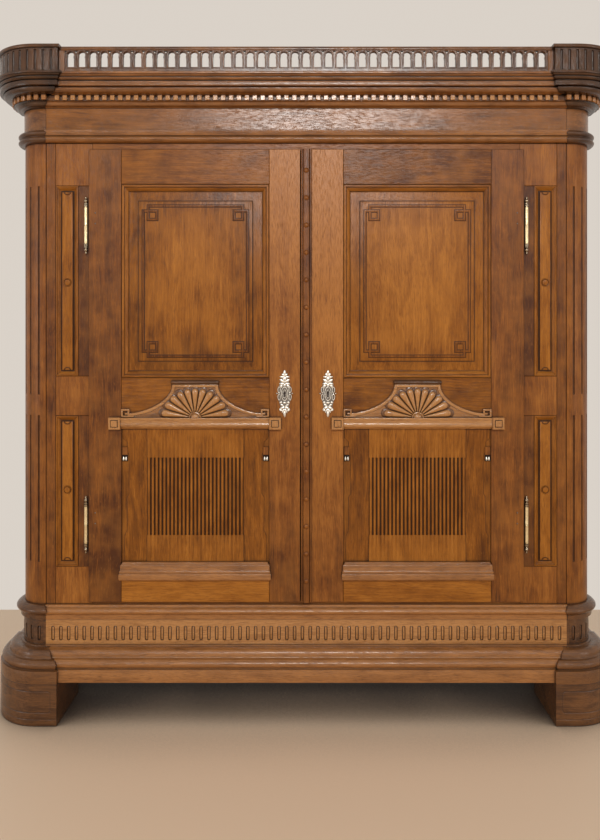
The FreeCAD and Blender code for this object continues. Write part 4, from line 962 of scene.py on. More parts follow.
@dataclass
class Base:
    """Feet, plinth, ogee, fluted frieze and bead."""

    plinth_height: float = 40.0
    frieze_reach: float = 4.0
    bead_reach: float = 20.0
    ring_reach: float = 24.0
    flute_pitch: float = 24.9
    flute_width: float = 11.0
    flute_height: float = 46.0
    flute_depth: float = 3.6
    flute_drop: float = 5.0
    flute_steps: tuple = ((-0.5, 0.0), (0.2, 0.3), (0.6, 1.0), (1.7, 1.0), (2.3, 0.62), (3.6, 0.40))
    corner_flutes: int = 5
    foot_border: tuple = (42.0, 108.0)
    foot_line: float = 21.0
    foot_margin: float = 20.0
    foot_turn: float = 10.0
    board_back: float = -22.0
    back: float = -40.0

    def __post_init__(self) -> None:
        """Reads the storeys' heights and reaches from the frame."""
        self.bottom = low("base_front_rail")[2]
        self.ogee_bottom = self.bottom + self.plinth_height
        self.frieze_bottom = low("base_frieze")[2]
        self.bead_bottom = low("base_bead")[2]
        self.top = high("base_bead")[2]
        self.reach = AT.front - low("base_front_rail")[1]
        self.corner_reach = AT.front - low("base_corners")[1]

    def plinth(self, reach: float, back: float, *above: Array) -> Array:
        """Outline of the plinth band and the ogee, with any storeys above them."""
        return backed([
            storey(FLAT, reach, self.bottom, self.plinth_height),
            storey(OGEE, reach, self.ogee_bottom, self.frieze_bottom - self.ogee_bottom), *above], back)

    def bead(self, shares: Sequence, reach: float) -> Array:
        """Front of the bead under the door surround."""
        return storey(shares, reach, self.bead_bottom, self.top - self.bead_bottom)

    def flute_tiles(self, centres: Array, width: float, back: float) -> Array:
        """Tiles of the frieze, each with an upright slot: rings from its back to the slot's floor.

        Ring points go round at the same 24 shares on the tile's edge and on the slot.

        Args:
            centres: sideways places of the tiles.
            width: width of one tile.
            back: reach of their back.

        Returns:
            (tiles, rings, 24, 3) points as (sideways, reach, height).
        """
        angle = math.radians(-45) + TURN * np.arange(24) / 24
        side = np.repeat(np.arange(4), 6)
        run, full = np.tile(np.arange(6) / 3 - 1, 4), np.ones(24)
        height = self.bead_bottom - self.frieze_bottom
        middle = self.frieze_bottom + height / 2
        edge_x = np.choose(side, [full, -run, -full, run]) * width / 2
        edge_z = np.choose(side, [run, full, -run, -full]) * height / 2 + middle
        drawn = [(edge_x, back, edge_z), (edge_x, self.frieze_reach, edge_z)]
        rise = np.sign(np.round(np.sin(angle), 6)) * (self.flute_height - self.flute_width) / 2
        for inset, sunk in self.flute_steps:
            radius = self.flute_width / 2 - inset
            z = radius * np.sin(angle) + rise - self.flute_drop + middle
            drawn.append((radius * np.cos(angle), self.frieze_reach - sunk * self.flute_depth, z))
        return repeated(rings(drawn), centres)

    def fluted(self, points: Array, tiles: Array, name: str, tone: float) -> Shape:
        """Band of the tiles moved to `points`, with painted shade where its slots are deep."""
        shape = wood(lattice(points), ACROSS, name, tone)
        sunk = np.clip(self.frieze_reach - tiles[..., 1].ravel(), 0, self.flute_depth)
        # Painted shade in the deep part of each slot.
        shape.tone -= 2.2 * GROOVE_SHADE * np.where(sunk > 0.8 * self.flute_depth, sunk, 0)
        return shape

    def land(self, name: str, lo: tuple, hi: tuple, tone: float, soft: float) -> Shape:
        """Plain piece of the frieze between two (x, y) corners."""
        return board(name, (*lo, self.frieze_bottom), (*hi, self.bead_bottom), ACROSS, tone, soft)

    def frieze(self) -> list:
        """Fluted board along the front, plain at its ends."""
        centres = spaced(2 * AT.seam - self.flute_width, self.flute_pitch)
        tiles = self.flute_tiles(centres, self.flute_pitch, self.board_back)
        name, tone = "base frieze", 0.25
        end = len(centres) / 2 * self.flute_pitch
        front, back = AT.front - self.frieze_reach, AT.front - self.board_back
        return [
            self.fluted(tiles * (1, -1, 1) + (0, AT.front, 0), tiles, name, tone),
            self.land(name, (-AT.seam, front), (-end, back), tone, 0.05),
            self.land(name, (end, front), (AT.seam, back), tone, 0.05)]

    def corner_frieze(self) -> list:
        """Fluted band of the left corner piece, plain on its two arms."""
        reach = self.frieze_reach
        arm = float(arm_length(reach))
        width = (AT.radius + reach) * math.pi / 2 / self.corner_flutes
        centres = arm + (np.arange(self.corner_flutes) + 0.5) * width
        tiles = self.flute_tiles(centres, width, self.back)
        place, normal = corner_plan(reach, tiles[..., 0])
        moved = place + normal * (tiles[..., 1:2] - reach)
        name, tone = "corner frieze", 0.1
        shape = self.fluted(np.concatenate([moved, tiles[..., 2:]], -1), tiles, name, tone)
        shape.grain[:, 0] = tiles[..., 0].ravel() + 400
        x, y, side = -AT.turn_x, AT.front, -AT.half_width
        return [
            shape, self.land(name, (x, y - reach), (x + arm, y - self.back), tone, 0.2),
            self.land(name, (side - reach, AT.turn_y), (side - self.back, AT.turn_y + arm), tone, 0.2)]

    def foot(self) -> Shape:
        """Left front foot: a rounded block with an incised border and a line under it."""
        height = high("front_feet")[2]
        length = corner_length(self.corner_reach)
        border_low, border_high = self.foot_border
        middle, half_tall = (border_low + border_high) / 2, (border_high - border_low) / 2
        turn, half_wide = self.foot_turn, length / 2 - self.foot_margin

        def depth(s: Array, z: Array) -> Array:
            """Depth of the incised lines and of the rounded upper and lower edges."""
            aside = np.abs(s - length / 2) - (half_wide - turn)
            above = np.abs(z - middle) - (half_tall - turn)
            outside = np.hypot(np.maximum(aside, 0), np.maximum(above, 0))
            border = np.abs(outside + np.minimum(np.maximum(aside, above), 0) - turn)
            near = np.minimum(border, np.abs(z - self.foot_line) + 0.6)
            rim = 1.5 * np.clip(1 - np.minimum(z, height - z) / 1.5, 0, 1)
            return 1.2 * np.exp(-(near / 1.1) ** 2) + rim

        rows = np.concatenate([
            [0, 0.8, 1.5, height - 1.5, height - 0.8, height], np.arange(4, height - 3, 1.0)])
        columns = np.linspace(0, length, int(length / 1.6))
        return corner_block(self.corner_reach, columns, np.unique(rows), depth, "foot", 0.12, ACROSS)

    def side(self) -> Shape:
        """Left side of the base."""
        loop = self.plinth(
            self.reach, self.board_back,
            storey(FLAT, self.frieze_reach, self.frieze_bottom, self.bead_bottom - self.frieze_bottom),
            self.bead(BASE_BEAD, self.bead_reach))
        return wood(along_y(loop), DEEP, "base side")

    def build(self, bench: Bench) -> None:
        """Builds every piece of the base."""
        ring = backed([self.bead(BASE_RING, self.ring_reach)], self.back)
        corner = joined([
            round_corner(self.plinth(self.corner_reach, self.back), "base corner", 0.25),
            round_corner(ring, "base ring", 0.2), *self.corner_frieze()])
        rail = along_x(self.plinth(self.reach, self.board_back))
        bead = backed([self.bead(BASE_BEAD, self.bead_reach)], self.board_back)
        bead = along_x(bead)
        bench.fix_all("carcass", (
            ("base_corner_pieces", both(corner, "base corner"), Finish.DARK, "base_corners"),
            ("feet", both(self.foot(), "feet"), Finish.DARK, "front_feet"),
            ("ogee_rail", wood(rail, ACROSS, "base rail", 0.3), Finish.MOULDING, "base_front_rail"),
            ("fluted_frieze", self.frieze(), Finish.CARVED, "base_frieze"),
            ("bead_rail", wood(bead, ACROSS, "base bead", 0.3), Finish.MOULDING, "base_bead"),
            ("base_side_pieces", both(self.side(), "base side"), Finish.MOULDING, "base_sides")))
        bench.copy("rear_feet", Finish.DARK, "carcass", 1.5)
        bench.copy("base_inner_rails", Finish.INSIDE, "carcass")


@dataclass
class Surround:
    """Corner posts, stiles with their sunk panels, and the rails round the doors."""

    flute_half: float = 3.4
    flute_depth: float = 3.8
    flute_count: int = 4
    lower_flutes: tuple = (134.0, 604.0)
    upper_flutes: tuple = (670.0, 1337.0)
    panel_inset: float = 46.0
    panel_width: float = 73.0
    panel_spans: tuple = ((120.0, 603.0), (729.0, 1338.0))
    bosses: tuple = (365.0, 1029.0)
    strip_width: float = 34.0
    strip_margin: float = 19.5
    boss_radius: float = 12.0
    thickness: float = 28.0

    def __post_init__(self) -> None:
        """Reads the storey's heights from the frame and places the sunk panels."""
        self.bottom = low("corner_posts")[2]
        self.top = high("corner_posts")[2]
        self.x0 = -(AT.half_opening + self.panel_inset + self.panel_width)
        self.x1 = self.x0 + self.panel_width

    def post(self) -> Shape:
        """Left post: a quarter round with narrow flutes in two runs."""
        length = corner_length(0)
        spans = [(self.bottom + a, self.bottom + b) for a, b in (self.lower_flutes, self.upper_flutes)]
        step = AT.radius * math.pi / 2 / self.flute_count
        centres = AT.land + (np.arange(self.flute_count) + 0.5) * step

        def depth(s: Array, z: Array) -> Array:
            """Depth of the flutes and of the small chamfers at both ends."""
            window = sum(eased(z, a, b, self.flute_half * 1.6) for a, b in spans)
            seam = 2.6 * np.clip(1 - np.minimum(s, length - s) / 1.6, 0, 1)
            return self.flute_depth * bumpy(s, centres, self.flute_half) * window + seam

        ends = np.array([0.8, 1.6, length - 1.6, length - 0.8])
        columns = columns_for(length, centres, self.flute_half, np.append(np.linspace(0, length, 40), ends))
        rows = rows_for(self.bottom, self.top, spans, self.flute_half * 1.6)
        return corner_block(0, columns, rows, depth, "post", -0.14)

    def stile_members(self) -> tuple[list, list]:
        """Upright and short rails of the left stile, and its darker inner uprights."""
        front, back, door = AT.front, AT.front + self.thickness, -AT.half_opening
        edges = [self.bottom, *(self.bottom + np.ravel(self.panel_spans)), self.top]
        outer = [board(
            "outer upright", (-AT.seam, front, self.bottom), (self.x0, back, self.top), UPRIGHT, -0.05)]
        for number, (z0, z1) in enumerate(zip(edges[::2], edges[1::2])):
            outer.append(board(
                f"stile rail {number}", (self.x0, front, z0), (door, back, z1), UPRIGHT, 0.02))
        inner = [
            board(f"inner upright {z0}", (self.x1, front, z0), (door, back, z1), UPRIGHT, -0.42)
            for z0, z1 in zip(edges[1:-1:2], edges[2:-1:2])]
        return outer, inner

    def panel(self, low_z: float, high_z: float, boss_z: float) -> list:
        """One sunk panel with its cove, raised strip, end lunettes and boss."""
        x0, x1, z0, z1 = self.x0, self.x1, self.bottom + low_z, self.bottom + high_z
        y, name, middle = AT.front, f"stile panel {low_z}", (x0 + x1) / 2
        cove = softened(np.array([
            (0.0, 1.6), (0.9, 1.6), (1.4, -0.4), (5.2, -0.4), (5.8, 1.8), (7.6, 2.2), (9.0, 3.2), (12.0, 6.6),
            (14.6, 7.6), (15.4, 9.0), (16.4, 9.2), (16.4, 26), (0.0, 26)]) + (0, y), 0.6)
        shapes = mitred(name, x0, x1, z0, z1, cove, 0.02)
        # Painted shade: the sunk floor, seen only as a narrow gap round the strip, is made dark.
        shapes.append(board(
            name, (x0 + 12, y + 8.6, z0 + 12), (x1 - 12, y + 20, z1 - 12), UPRIGHT, -1.1))
        half, ends = self.strip_width / 2, (z0 + self.strip_margin, z1 - self.strip_margin)
        strip = tray(middle - half, middle + half, *ends, np.array([
            (0, 12), (0, 4.2), (1.2, 3.2), (3.0, 3.0)]) + (0, y))
        wood(strip, UPRIGHT, name + " strip", 0.06)
        # Painted shade along the strip's side walls.
        strip.tone[:8] -= 1.0
        shapes.append(strip)
        angle = np.linspace(0, math.pi, 13)
        for z, way in zip(ends, (1, -1)):
            arc = np.stack([middle + 10 * np.cos(angle), z + way * 8 * np.sin(angle)], -1)
            shapes.append(wood(ribbon(arc, 2.4, 1.8, y + 3.0), UPRIGHT, name, -0.45))
        boss = disc(
            middle, self.bottom + boss_z,
            self.boss_radius * np.array([1.06, 1.06, 1.0, 0.9, 0.84, 0.76, 0.4, 0.05]),
            y + np.array([9, 1.2, 0.2, 0.4, 2.2, 0.2, -0.45, -0.5]))
        return shapes + [wood(boss, UPRIGHT, name + " boss")]

    def build(self, bench: Bench) -> None:
        """Builds posts, stiles, stile panels and rails."""
        outer, inner = self.stile_members()
        panels = [self.panel(*span, boss) for span, boss in zip(self.panel_spans, self.bosses)]
        bench.fix_all("carcass", (
            ("posts", both(self.post(), "post"), Finish.FRAME, "corner_posts"),
            ("stile_boards", both(joined(outer), "stile"), Finish.FRAME, "front_stiles"),
            ("stile_inner_boards", both(joined(inner), "inner"), Finish.FRAME, None),
            ("stile_panel_work", both(joined(sum(panels, [])), "panels"), Finish.PANEL, "stile_panels")))
        bench.copy("surround_rails", Finish.FRAME, "carcass", tone=-0.02)


@dataclass
class Carcass:
    """Sides, back, top and the fittings inside."""

    def build(self, bench: Bench) -> None:
        """Dresses the plain boards of the carcass."""
        body = "carcass"
        bench.copy("side_frames", Finish.FRAME, body)
        bench.copy("side_panels", Finish.PANEL, body)
        for node in ("back_frame", "back_panels", "floor_board", "ceiling_board", "top_board",
                     "hat_shelf", "shelf_battens", "clothes_rail", "rail_sockets"):
            bench.copy(node, Finish.INSIDE, body, 0.8 if node != "clothes_rail" else 0)


@dataclass
class Cornice:
    """Architrave, frieze, dentils, crown, caps and gallery."""

    frieze_reach: float = 3.0
    ring_lead: float = 4.0
    bed_height: float = 17.0
    dentil_height: float = 17.0
    dentil_width: float = 14.0
    dentil_gap: float = 11.0
    dentil_root: float = 26.0
    dentil_lead: float = 6.0
    back: float = -40.0
    cap_flute_pitch: float = 24.5
    cap_flute_half: float = 3.8
    cap_flute_depth: float = 4.2
    cap_margin: float = 5.0
    slab_height: float = 11.0
    slab_lead: float = 6.0
    gallery_pitch: float = 35.0
    arch_width: float = 21.4
    arch_height: float = 47.5
    arch_cover: float = 3.0
    arch_spandrel: tuple = (5.2, 8.5)
    sill_height: float = 18.0

    def __post_init__(self) -> None:
        """Reads the storeys' heights and reaches from the frame."""
        self.architrave_bottom = low("architrave")[2]
        self.architrave_top = high("architrave")[2]
        self.bed_bottom = low("cornice_mouldings")[2]
        self.dentil_bottom = self.bed_bottom + self.bed_height
        self.crown_bottom = self.dentil_bottom + self.dentil_height
        self.crown_top = high("cornice_mouldings")[2]
        self.architrave_reach = AT.front - low("architrave")[1]
        self.dentil_reach = AT.front - low("dentils")[1]
        self.crown_reach = AT.front - low("cornice_mouldings")[1]
        self.corner_reach = AT.front - low("cornice_corners")[1]
        self.cap_reach = AT.front - low("caps")[1] - self.slab_lead

    def small_corner(self) -> Shape:
        """Ring and plain block of the left corner between front and cornice."""
        height = self.architrave_top - self.architrave_bottom
        loop = backed([
            storey(RING, self.architrave_reach + self.ring_lead, self.architrave_bottom, height),
            storey(FLAT, self.frieze_reach, self.architrave_top, self.bed_bottom - self.architrave_top)],
            self.back)
        shape = round_corner(loop, "frieze corner", -0.1)
        shape.tone -= 0.8 * (shape.points[:, 2] < self.architrave_top + 0.1)
        return shape

    def crown(self, lead: float, dentil: float, back: float) -> Array:
        """Outline of the cornice from its bed moulding to its lip."""
        return backed([
            storey(BED, self.dentil_reach + lead, self.bed_bottom, self.bed_height),
            storey(FLAT, dentil, self.dentil_bottom, self.dentil_height),
            storey(CROWN, self.crown_reach if not lead else self.corner_reach, self.crown_bottom,
                   self.crown_top - self.crown_bottom)], back)

    def teeth(self, middles: Array, tip: float) -> Shape:
        """Row of dentils in (sideways, reach, height) places."""
        half, base = self.dentil_width / 2, np.zeros_like(middles)
        lows = [middles - half, base + self.dentil_root - 6, base + self.dentil_bottom + 0.4]
        highs = [middles + half, base + tip, base + self.crown_bottom + 0.4]
        return blocks(np.stack(lows, -1), np.stack(highs, -1), 0.9)

    def dentils(self) -> list:
        """Teeth along the front and the sides."""
        pitch = self.dentil_width + self.dentil_gap
        corner = self.dentil_reach + self.dentil_lead
        half = AT.seam + AT.setback - corner
        row = self.teeth(spaced(2 * half - self.dentil_gap, pitch), self.dentil_reach)
        row.points[:, 1] = AT.front - row.points[:, 1]
        wood(row, ACROSS, "dentils", 0.62)
        start = AT.side_start - AT.setback + corner
        length = AT.back - start
        middles = start + length / 2 + spaced(length - self.dentil_gap, pitch)
        side = self.teeth(middles, self.dentil_reach)
        side.points = side.points[:, [1, 0, 2]] * (-1, 1, 1) - (AT.half_width, 0, 0)
        wood(side, DEEP, "side dentils", 0.05)
        return [row] + both(side, "side dentils")

    def corner_teeth(self) -> Shape:
        """Teeth round the left corner."""
        reach = self.dentil_reach + self.dentil_lead
        arm = float(arm_length(reach))
        turn = math.pi / 2 * (AT.radius + reach)
        count = round(turn / (self.dentil_width + self.dentil_gap))
        middles = arm + (np.arange(-1, count + 1) + 0.5) * turn / count
        row = self.teeth(middles, reach)
        place, normal = corner_plan(reach, row.points[:, 0])
        row.points[:, :2] = place + normal * (row.points[:, 1:2] - reach)
        return wood(row, ACROSS, "corner dentils", 0.35)

    def cap(self) -> list:
        """Left cap: a fluted band under a thin slab."""
        top = high("caps")[2]
        band_top = top - self.slab_height
        length = corner_length(self.cap_reach)
        arm = float(arm_length(self.cap_reach))
        turn = length - 2 * arm
        count = round(turn / self.cap_flute_pitch)
        outer = (np.arange(int(arm / self.cap_flute_pitch)) + 1) * self.cap_flute_pitch
        centres = np.concatenate([
            arm - outer[::-1], arm + np.arange(count + 1) * turn / count, arm + turn + outer])
        z0, z1 = self.crown_top + self.cap_margin, band_top - self.cap_margin

        def depth(s: Array, z: Array) -> Array:
            """Depth of the flutes."""
            return self.cap_flute_depth * bumpy(s, centres, self.cap_flute_half) * eased(z, z0, z1, 3.0)

        columns = columns_for(length, centres, self.cap_flute_half, np.linspace(0, length, 50))
        rows = rows_for(self.crown_top, band_top, [(z0, z1)], 5.0)
        band = corner_block(self.cap_reach, columns, rows, depth, "cap", -0.12, hollow=24.0)
        reach = self.cap_reach + self.slab_lead

        def rounding(s: Array, z: Array) -> Array:
            """Depth of the rounded upper and lower edges."""
            share = np.minimum(z - band_top, top - z) / self.slab_height
            return 2.2 * np.clip(1 - share / 0.2, 0, 1) ** 2

        rows = band_top + self.slab_height * np.array([0.0, 0.08, 0.2, 0.8, 0.92, 1.0])
        columns = np.linspace(0, corner_length(reach), 50)
        return [band, corner_block(
            reach, columns, rows, rounding, "cap slab", -0.1, ACROSS, 30.0)]

    def gallery(self) -> list:
        """Pierced arcade: one tile for each arch, with a rail over them and a lip under them.

        Each tile's rings have 28 points: 4 along the foot, 6 up the right side, 12 over the
        head and 6 down the left side, both on its own outline and on the arch.
        """
        half = AT.seam + AT.setback - self.cap_reach
        centres = spaced(2 * half - self.arch_width, self.gallery_pitch)
        (_, y0, z0), (_, y1, z1) = low("gallery"), high("gallery")
        sill = z0 + self.sill_height
        spring = sill + self.arch_height - self.arch_width / 2
        top = sill + self.arch_height + self.arch_cover
        edge = self.gallery_pitch / 2
        aside, down = self.arch_spandrel
        shoulder = top - down
        up = np.arange(6) / 6
        key_x, key_z = [edge, edge - aside, aside - edge, -edge], [shoulder, top, top, shoulder]
        head_x, head_z = [np.interp(np.linspace(0, 3, 12), range(4), key) for key in (key_x, key_z)]
        outer_x = np.concatenate([
            np.linspace(-edge, edge, 4, endpoint=False), np.full(6, edge), head_x, np.full(6, -edge)])
        outer_z = np.concatenate([
            np.full(4, z0), z0 + up * (shoulder - z0), head_z, shoulder - up * (shoulder - z0)])

        def ring(grow: float, y: float) -> tuple:
            """Points of an arch that is wider by `grow`, at a depth."""
            w, foot = self.arch_width / 2 + grow, sill - grow
            angle = np.linspace(0, math.pi, 12)
            pinch = np.array([0, 0, 0, 0, 0, 1.4])
            x = np.concatenate([
                np.linspace(-w, w, 4, endpoint=False), w - pinch, w * np.cos(angle), -w + pinch[::-1]])
            z = np.concatenate([
                np.full(4, foot), foot + up * (spring - foot), spring + w * np.sin(angle),
                spring - up * (spring - foot)])
            return x, y, z

        steps = ((4.6, 1.6), (4.0, 0.4), (2.8, 0.0), (1.2, 0.3), (0.2, 1.6), (0.0, 3.0))
        tile = rings([
            (outer_x, y0 + 1.6, outer_z), *(ring(grow, y0 + sunk) for grow, sunk in steps),
            ring(0.0, y1 - 0.8), ring(0.8, y1), (outer_x, y1, outer_z)])
        rail = softened(np.array([
            (y0 + 1.6, top), (y0 + 1.6, top + 2.5), (y0, top + 4.0), (y0, z1 - 6), (y0 + 1.0, z1 - 1.5),
            (y0 + 2.6, z1), (y1, z1), (y1, top)]), 1.0)
        shapes = [
            wood(lattice(repeated(tile, centres), ring=True), UPRIGHT, "gallery", -0.35),
            wood(swept(rail, -half, half, 0), ACROSS, "gallery rail", -0.25)]
        end = len(centres) / 2 * self.gallery_pitch
        for a, b in ((-half, -end), (end, half)):
            shapes.append(board("gallery end", (a, y0 + 0.6, z0), (b, y1, top), UPRIGHT, -0.3))
        lip = board("gallery lip", (-half, y0 + 0.4, z0), (half, y1 - 1, z0 + 3), ACROSS, -0.3)
        return shapes + [lip]

    def corner(self) -> Shape:
        """Left corner of the cornice, its hidden top a little lower, with a bed under the cap."""
        shape = round_corner(
            self.crown(self.dentil_lead, self.dentil_root, self.back), "cornice corner", -0.35, 60.0, 28)
        inward = np.minimum(shape.points[:, 0] + AT.half_width, shape.points[:, 1] - AT.front)
        shape.points[:, 2] -= 1.5 * (inward > 30) * (shape.points[:, 2] > self.crown_top - 0.1)
        bed = board(
            "corner bed", (-AT.half_width, AT.front, self.crown_top - 9),
            (1 - AT.seam, AT.side_start + 1, self.crown_top - 0.8), ACROSS, -0.6)
        return joined([shape, bed])

    def straight(self, loop: Array, name: str) -> list:
        """A moulding along the front and both sides."""
        front = wood(along_x(loop), ACROSS, name)
        side = wood(along_y(loop), DEEP, "side " + name)
        return [front] + both(side, name)

    def build(self, bench: Bench) -> None:
        """Builds every piece of the cornice."""
        height = self.architrave_top - self.architrave_bottom
        architrave = backed([
            storey(ARCHITRAVE, self.architrave_reach, self.architrave_bottom, height)], self.frieze_reach)
        crown = self.crown(0, self.dentil_root - 3, self.frieze_reach)
        corner = both(self.small_corner(), "frieze corner")
        bench.fix("frieze_corner_pieces", corner, Finish.MOULDING, "carcass", "frieze_corners")
        architrave = self.straight(architrave, "architrave")
        bench.fix("architrave_rails", architrave, Finish.MOULDING, "carcass", "architrave")
        bench.copy("frieze_boards", Finish.POLISHED, "carcass", tone=0.08)
        bench.fix_all("carcass", (
            ("cornice_corner_pieces", both(self.corner(), "cornice corner"), Finish.DARK, "cornice_corners"),
            ("crown_mouldings", self.straight(crown, "crown"), Finish.MOULDING, "cornice_mouldings"),
            ("dentil_rows", self.dentils(), Finish.CARVED, "dentils"),
            ("corner_dentils", both(self.corner_teeth(), "corner teeth"), Finish.MOULDING, None),
            ("cap_blocks", both(joined(self.cap()), "cap"), Finish.DARK, "caps"),
            ("arcade", self.gallery(), Finish.MOULDING, "gallery")))


class Side(Enum):
    """Which door a piece belongs to."""

    LEFT = "left"
    RIGHT = "right"


@dataclass
class Door:
    """One door, drawn as the left one and mirrored for the right."""

    side: Side
    lip: float = 12.0
    core: float = 18.0
    clearance: float = 2.5
    moulding_width: float = 25.0
    moulding_drop: float = 10.0
    bevel_width: float = 29.0
    field_rise: float = 6.0
    thread_inset: float = 69.0
    thread_width: float = 6.0
    key_size: float = 27.0
    key_shift: float = 16.0
    lower_sink: float = 6.0
    reed_foot_margin: float = 85.0
    reed_head_margin: float = 92.0
    reeded_margin: float = 81.5
    reed_count: int = 25
    reed_depth: float = 4.6
    sill_height: float = 57.0
    sill_reach: float = 16.0
    sill_lap: float = 5.5
    pediment_rise: float = 106.0
    pediment_shoulder: float = 14.0
    pediment_half_top: float = 73.0
    pediment_margin: float = 27.0
    band_width: float = 10.0
    band_height: float = 6.0
    scroll_size: float = 27.0
    bar_half: float = 76.0
    bar_radius: float = 6.0
    lobes: int = 11
    fan_half: float = 108.0
    fan_rise: float = 93.0
    shelf_reach: float = 15.0
    block_half: float = 19.0
    tab_drop: float = 58.0

    def __post_init__(self) -> None:
        """Reads the door's outline and its panels from the frame, as if it were the left one."""
        self.body = "door_" + self.side.value

        def span(node: str) -> tuple[float, float, float, float]:
            """Left, right, lower and upper edge of one of its nodes."""
            a, b = low(f"{self.body}_{node}"), high(f"{self.body}_{node}")
            return (a[0], b[0], a[2], b[2]) if self.side is Side.LEFT else (-b[0], -a[0], a[2], b[2])

        self.x0, self.x1, self.z0, self.z1 = span("frame")
        self.px0, self.px1, self.rail_top, self.top_rail = span("moulding")
        _, _, self.bottom_rail, self.lock_rail = span("lower_panel")
        _, _, self.shelf_top, self.bar_top = span("pediment")
        self.front, self.back = AT.front - self.lip, AT.front + self.core
        self.centre, self.half = (self.px0 + self.px1) / 2, (self.px1 - self.px0) / 2

    def seed(self, name: str) -> str:
        """Name of a board of this door."""
        return f"{name} {self.side.value}"

    def oak(self, name: str, shape: Shape, grain: Grain, tone: float = 0.0) -> Shape:
        """A shape cut from a board of this door."""
        return wood(shape, grain, self.seed(name), tone)

    def member(
            self, name: str, x0: float, x1: float, z0: float, z1: float, grain: Grain, tone: float) -> list:
        """One member of the frame: a face that laps over the surround, and the core behind it."""
        lap = high("floor_board")[2] - self.z0 + self.clearance
        lo = (max(x0, self.clearance - AT.half_opening), AT.front - 2, max(z0, self.z0 + lap))
        hi = (x1, self.back, min(z1, self.z1 - lap))
        return [
            board(self.seed(name), (x0, self.front, z0), (x1, AT.front, z1), grain, tone),
            board(self.seed(name), lo, hi, grain, tone, 0.9)]

    def frame(self) -> tuple[list, list]:
        """Two stiles and three rails, as the stiles' shapes and the rails' shapes."""
        shapes = []
        for member in (
                ("hinge stile", self.x0, self.px0, self.z0, self.z1, UPRIGHT, -0.24),
                ("lock stile", self.px1, self.x1, self.z0, self.z1, UPRIGHT, 0.0),
                ("top rail", self.px0, self.px1, self.top_rail, self.z1, ACROSS, -0.26),
                ("lock rail", self.px0, self.px1, self.lock_rail, self.rail_top, ACROSS, -0.28),
                ("bottom rail", self.px0, self.px1, self.z0, self.bottom_rail, ACROSS, 0.18)):
            shapes += self.member(*member)
        for shape in shapes[2:4]:
            shape.tone += np.interp(shape.points[:, 2], [self.z0, self.z1], [-0.15, 0.5])
        return shapes[:4], shapes[4:]

    def upper_panel(self) -> tuple[list, list]:
        """Mitred moulding round the upper panel, and the raised panel with its thread."""
        w, bevel, deep = self.moulding_width, self.bevel_width, self.moulding_drop + 2.2
        loop = softened(np.array([
            (0.0, 2.6), (1.8, 2.6), (2.4, 0.3), (8.2, 0.3), (8.8, 3.6), (11.0, 3.8), (11.6, 2.4), (14.6, 4.2),
            (18.6, 8.0), (20.2, 9.0), (21.0, deep), (w, deep), (w, 26), (0.0, 26)]) + (0, self.front), 0.7)
        moulding = mitred(
            self.seed("panel moulding"), self.px0, self.px1, self.rail_top, self.top_rail, loop)
        x0, x1 = self.px0 + w - 1, self.px1 - w + 1
        z0, z1 = self.rail_top + w - 1, self.top_rail - w + 1
        edge = self.front + self.moulding_drop
        field = edge - self.field_rise
        steps = [(0.0, edge + 10), (0.0, edge + 0.8), (bevel * 0.9, field + 2.6), (bevel, field + 2.8),
                 (bevel + 0.6, field + 0.5), (bevel + 2.0, field)]
        reach = (x1 - x0) / 2 - 1 - bevel - 2
        steps += [(bevel + 2 + reach * t, field) for t in np.linspace(0, 1, 9)[1:]]
        panel = self.oak("upper panel", tray(x0, x1, z0, z1, steps), UPRIGHT)
        # Painted shade: a dark line at the step from bevel to field; the field grows lighter towards its
        # middle.
        panel.tone += np.interp(
            np.repeat([step[0] for step in steps], 4),
            [0, bevel * 0.9, bevel, bevel + 0.6, bevel + 2, bevel + 50, bevel + 130],
            [-0.05, -0.15, -1.3, -1.3, -0.12, 0.02, 0.22])
        return moulding, [panel] + self.threads(field)

    def threads(self, field: float) -> list:
        """Raised thread round the field, which crosses itself in a square key at each corner.

        Each corner's five points lie at 0, key_shift or key_shift + key_size along its two
        sides; the last leg passes over the first.
        """
        inset = self.thread_inset
        x0, x1 = self.px0 + inset, self.px1 - inset
        z0, z1 = self.rail_top + inset, self.top_rail - inset
        a, b = self.key_shift, self.key_shift + self.key_size
        across = np.array([(a, 0), (a, b), (b, b), (b, a), (0, a)])
        path = np.concatenate([
            (x0, z1) + across * (1, -1), (x0, z0) + across[::-1],
            (x1, z0) + across * (-1, 1), (x1, z1) - across[::-1]])
        lift = np.tile([0.0, 0.0, 0.2, 0.4, 0.4, 0.4, 0.4, 0.2, 0.0, 0.0], 2)[:, None]
        thread = ribbon(path, self.thread_width, 1.6, field - lift, closed=True)
        shadow = ribbon(path, self.thread_width + 4.5, 0.5, field - lift / 2, closed=True)
        return [
            self.oak("upper panel", thread, UPRIGHT, -0.15),
            self.oak("upper panel", shadow, UPRIGHT, -0.95)]

    def lower_panel(self) -> list:
        """Sunk board, shaped board and the reeded centre."""
        z0, z1 = self.bottom_rail, self.lock_rail
        face, bottom = self.front + self.lower_sink, z0 + self.sill_height
        sunk = board(
            self.seed("sunk board"), (self.px0, face, z0), (self.px1, face + 10, z1), UPRIGHT, -0.10,
            0.2)
        shares = np.array([
            (0.965, -0.05), (0.965, 0.19), (0.93, 0.23), (0.93, 0.48), (0.90, 0.51), (0.90, 0.80),
            (0.93, 0.83), (0.93, 0.90), (0.985, 0.93), (0.985, 1.0)])
        right = (self.centre, bottom) + shares * (self.half, z1 - bottom)
        edge = np.concatenate([right, right[::-1] * (-1, 1) + (2 * self.centre, 0)])
        inward = np.sign((self.centre, 0) - edge) * (1, 0)
        steps = ((0.0, 4), (0.0, -0.4), (1.2, -1.0), (2.2, -1.2))
        drawn = [upright(edge + shrink * inward, face + sink) for shrink, sink in steps]
        shaped = self.oak("shaped board", lattice(np.stack(drawn)), UPRIGHT, -0.01)
        # Painted shade along the shaped board's stepped edge.
        shaped.tone[:2 * len(edge)] = -1.7
        return [sunk, shaped, self.reeding(face - 6.0, bottom - 10, z1)]

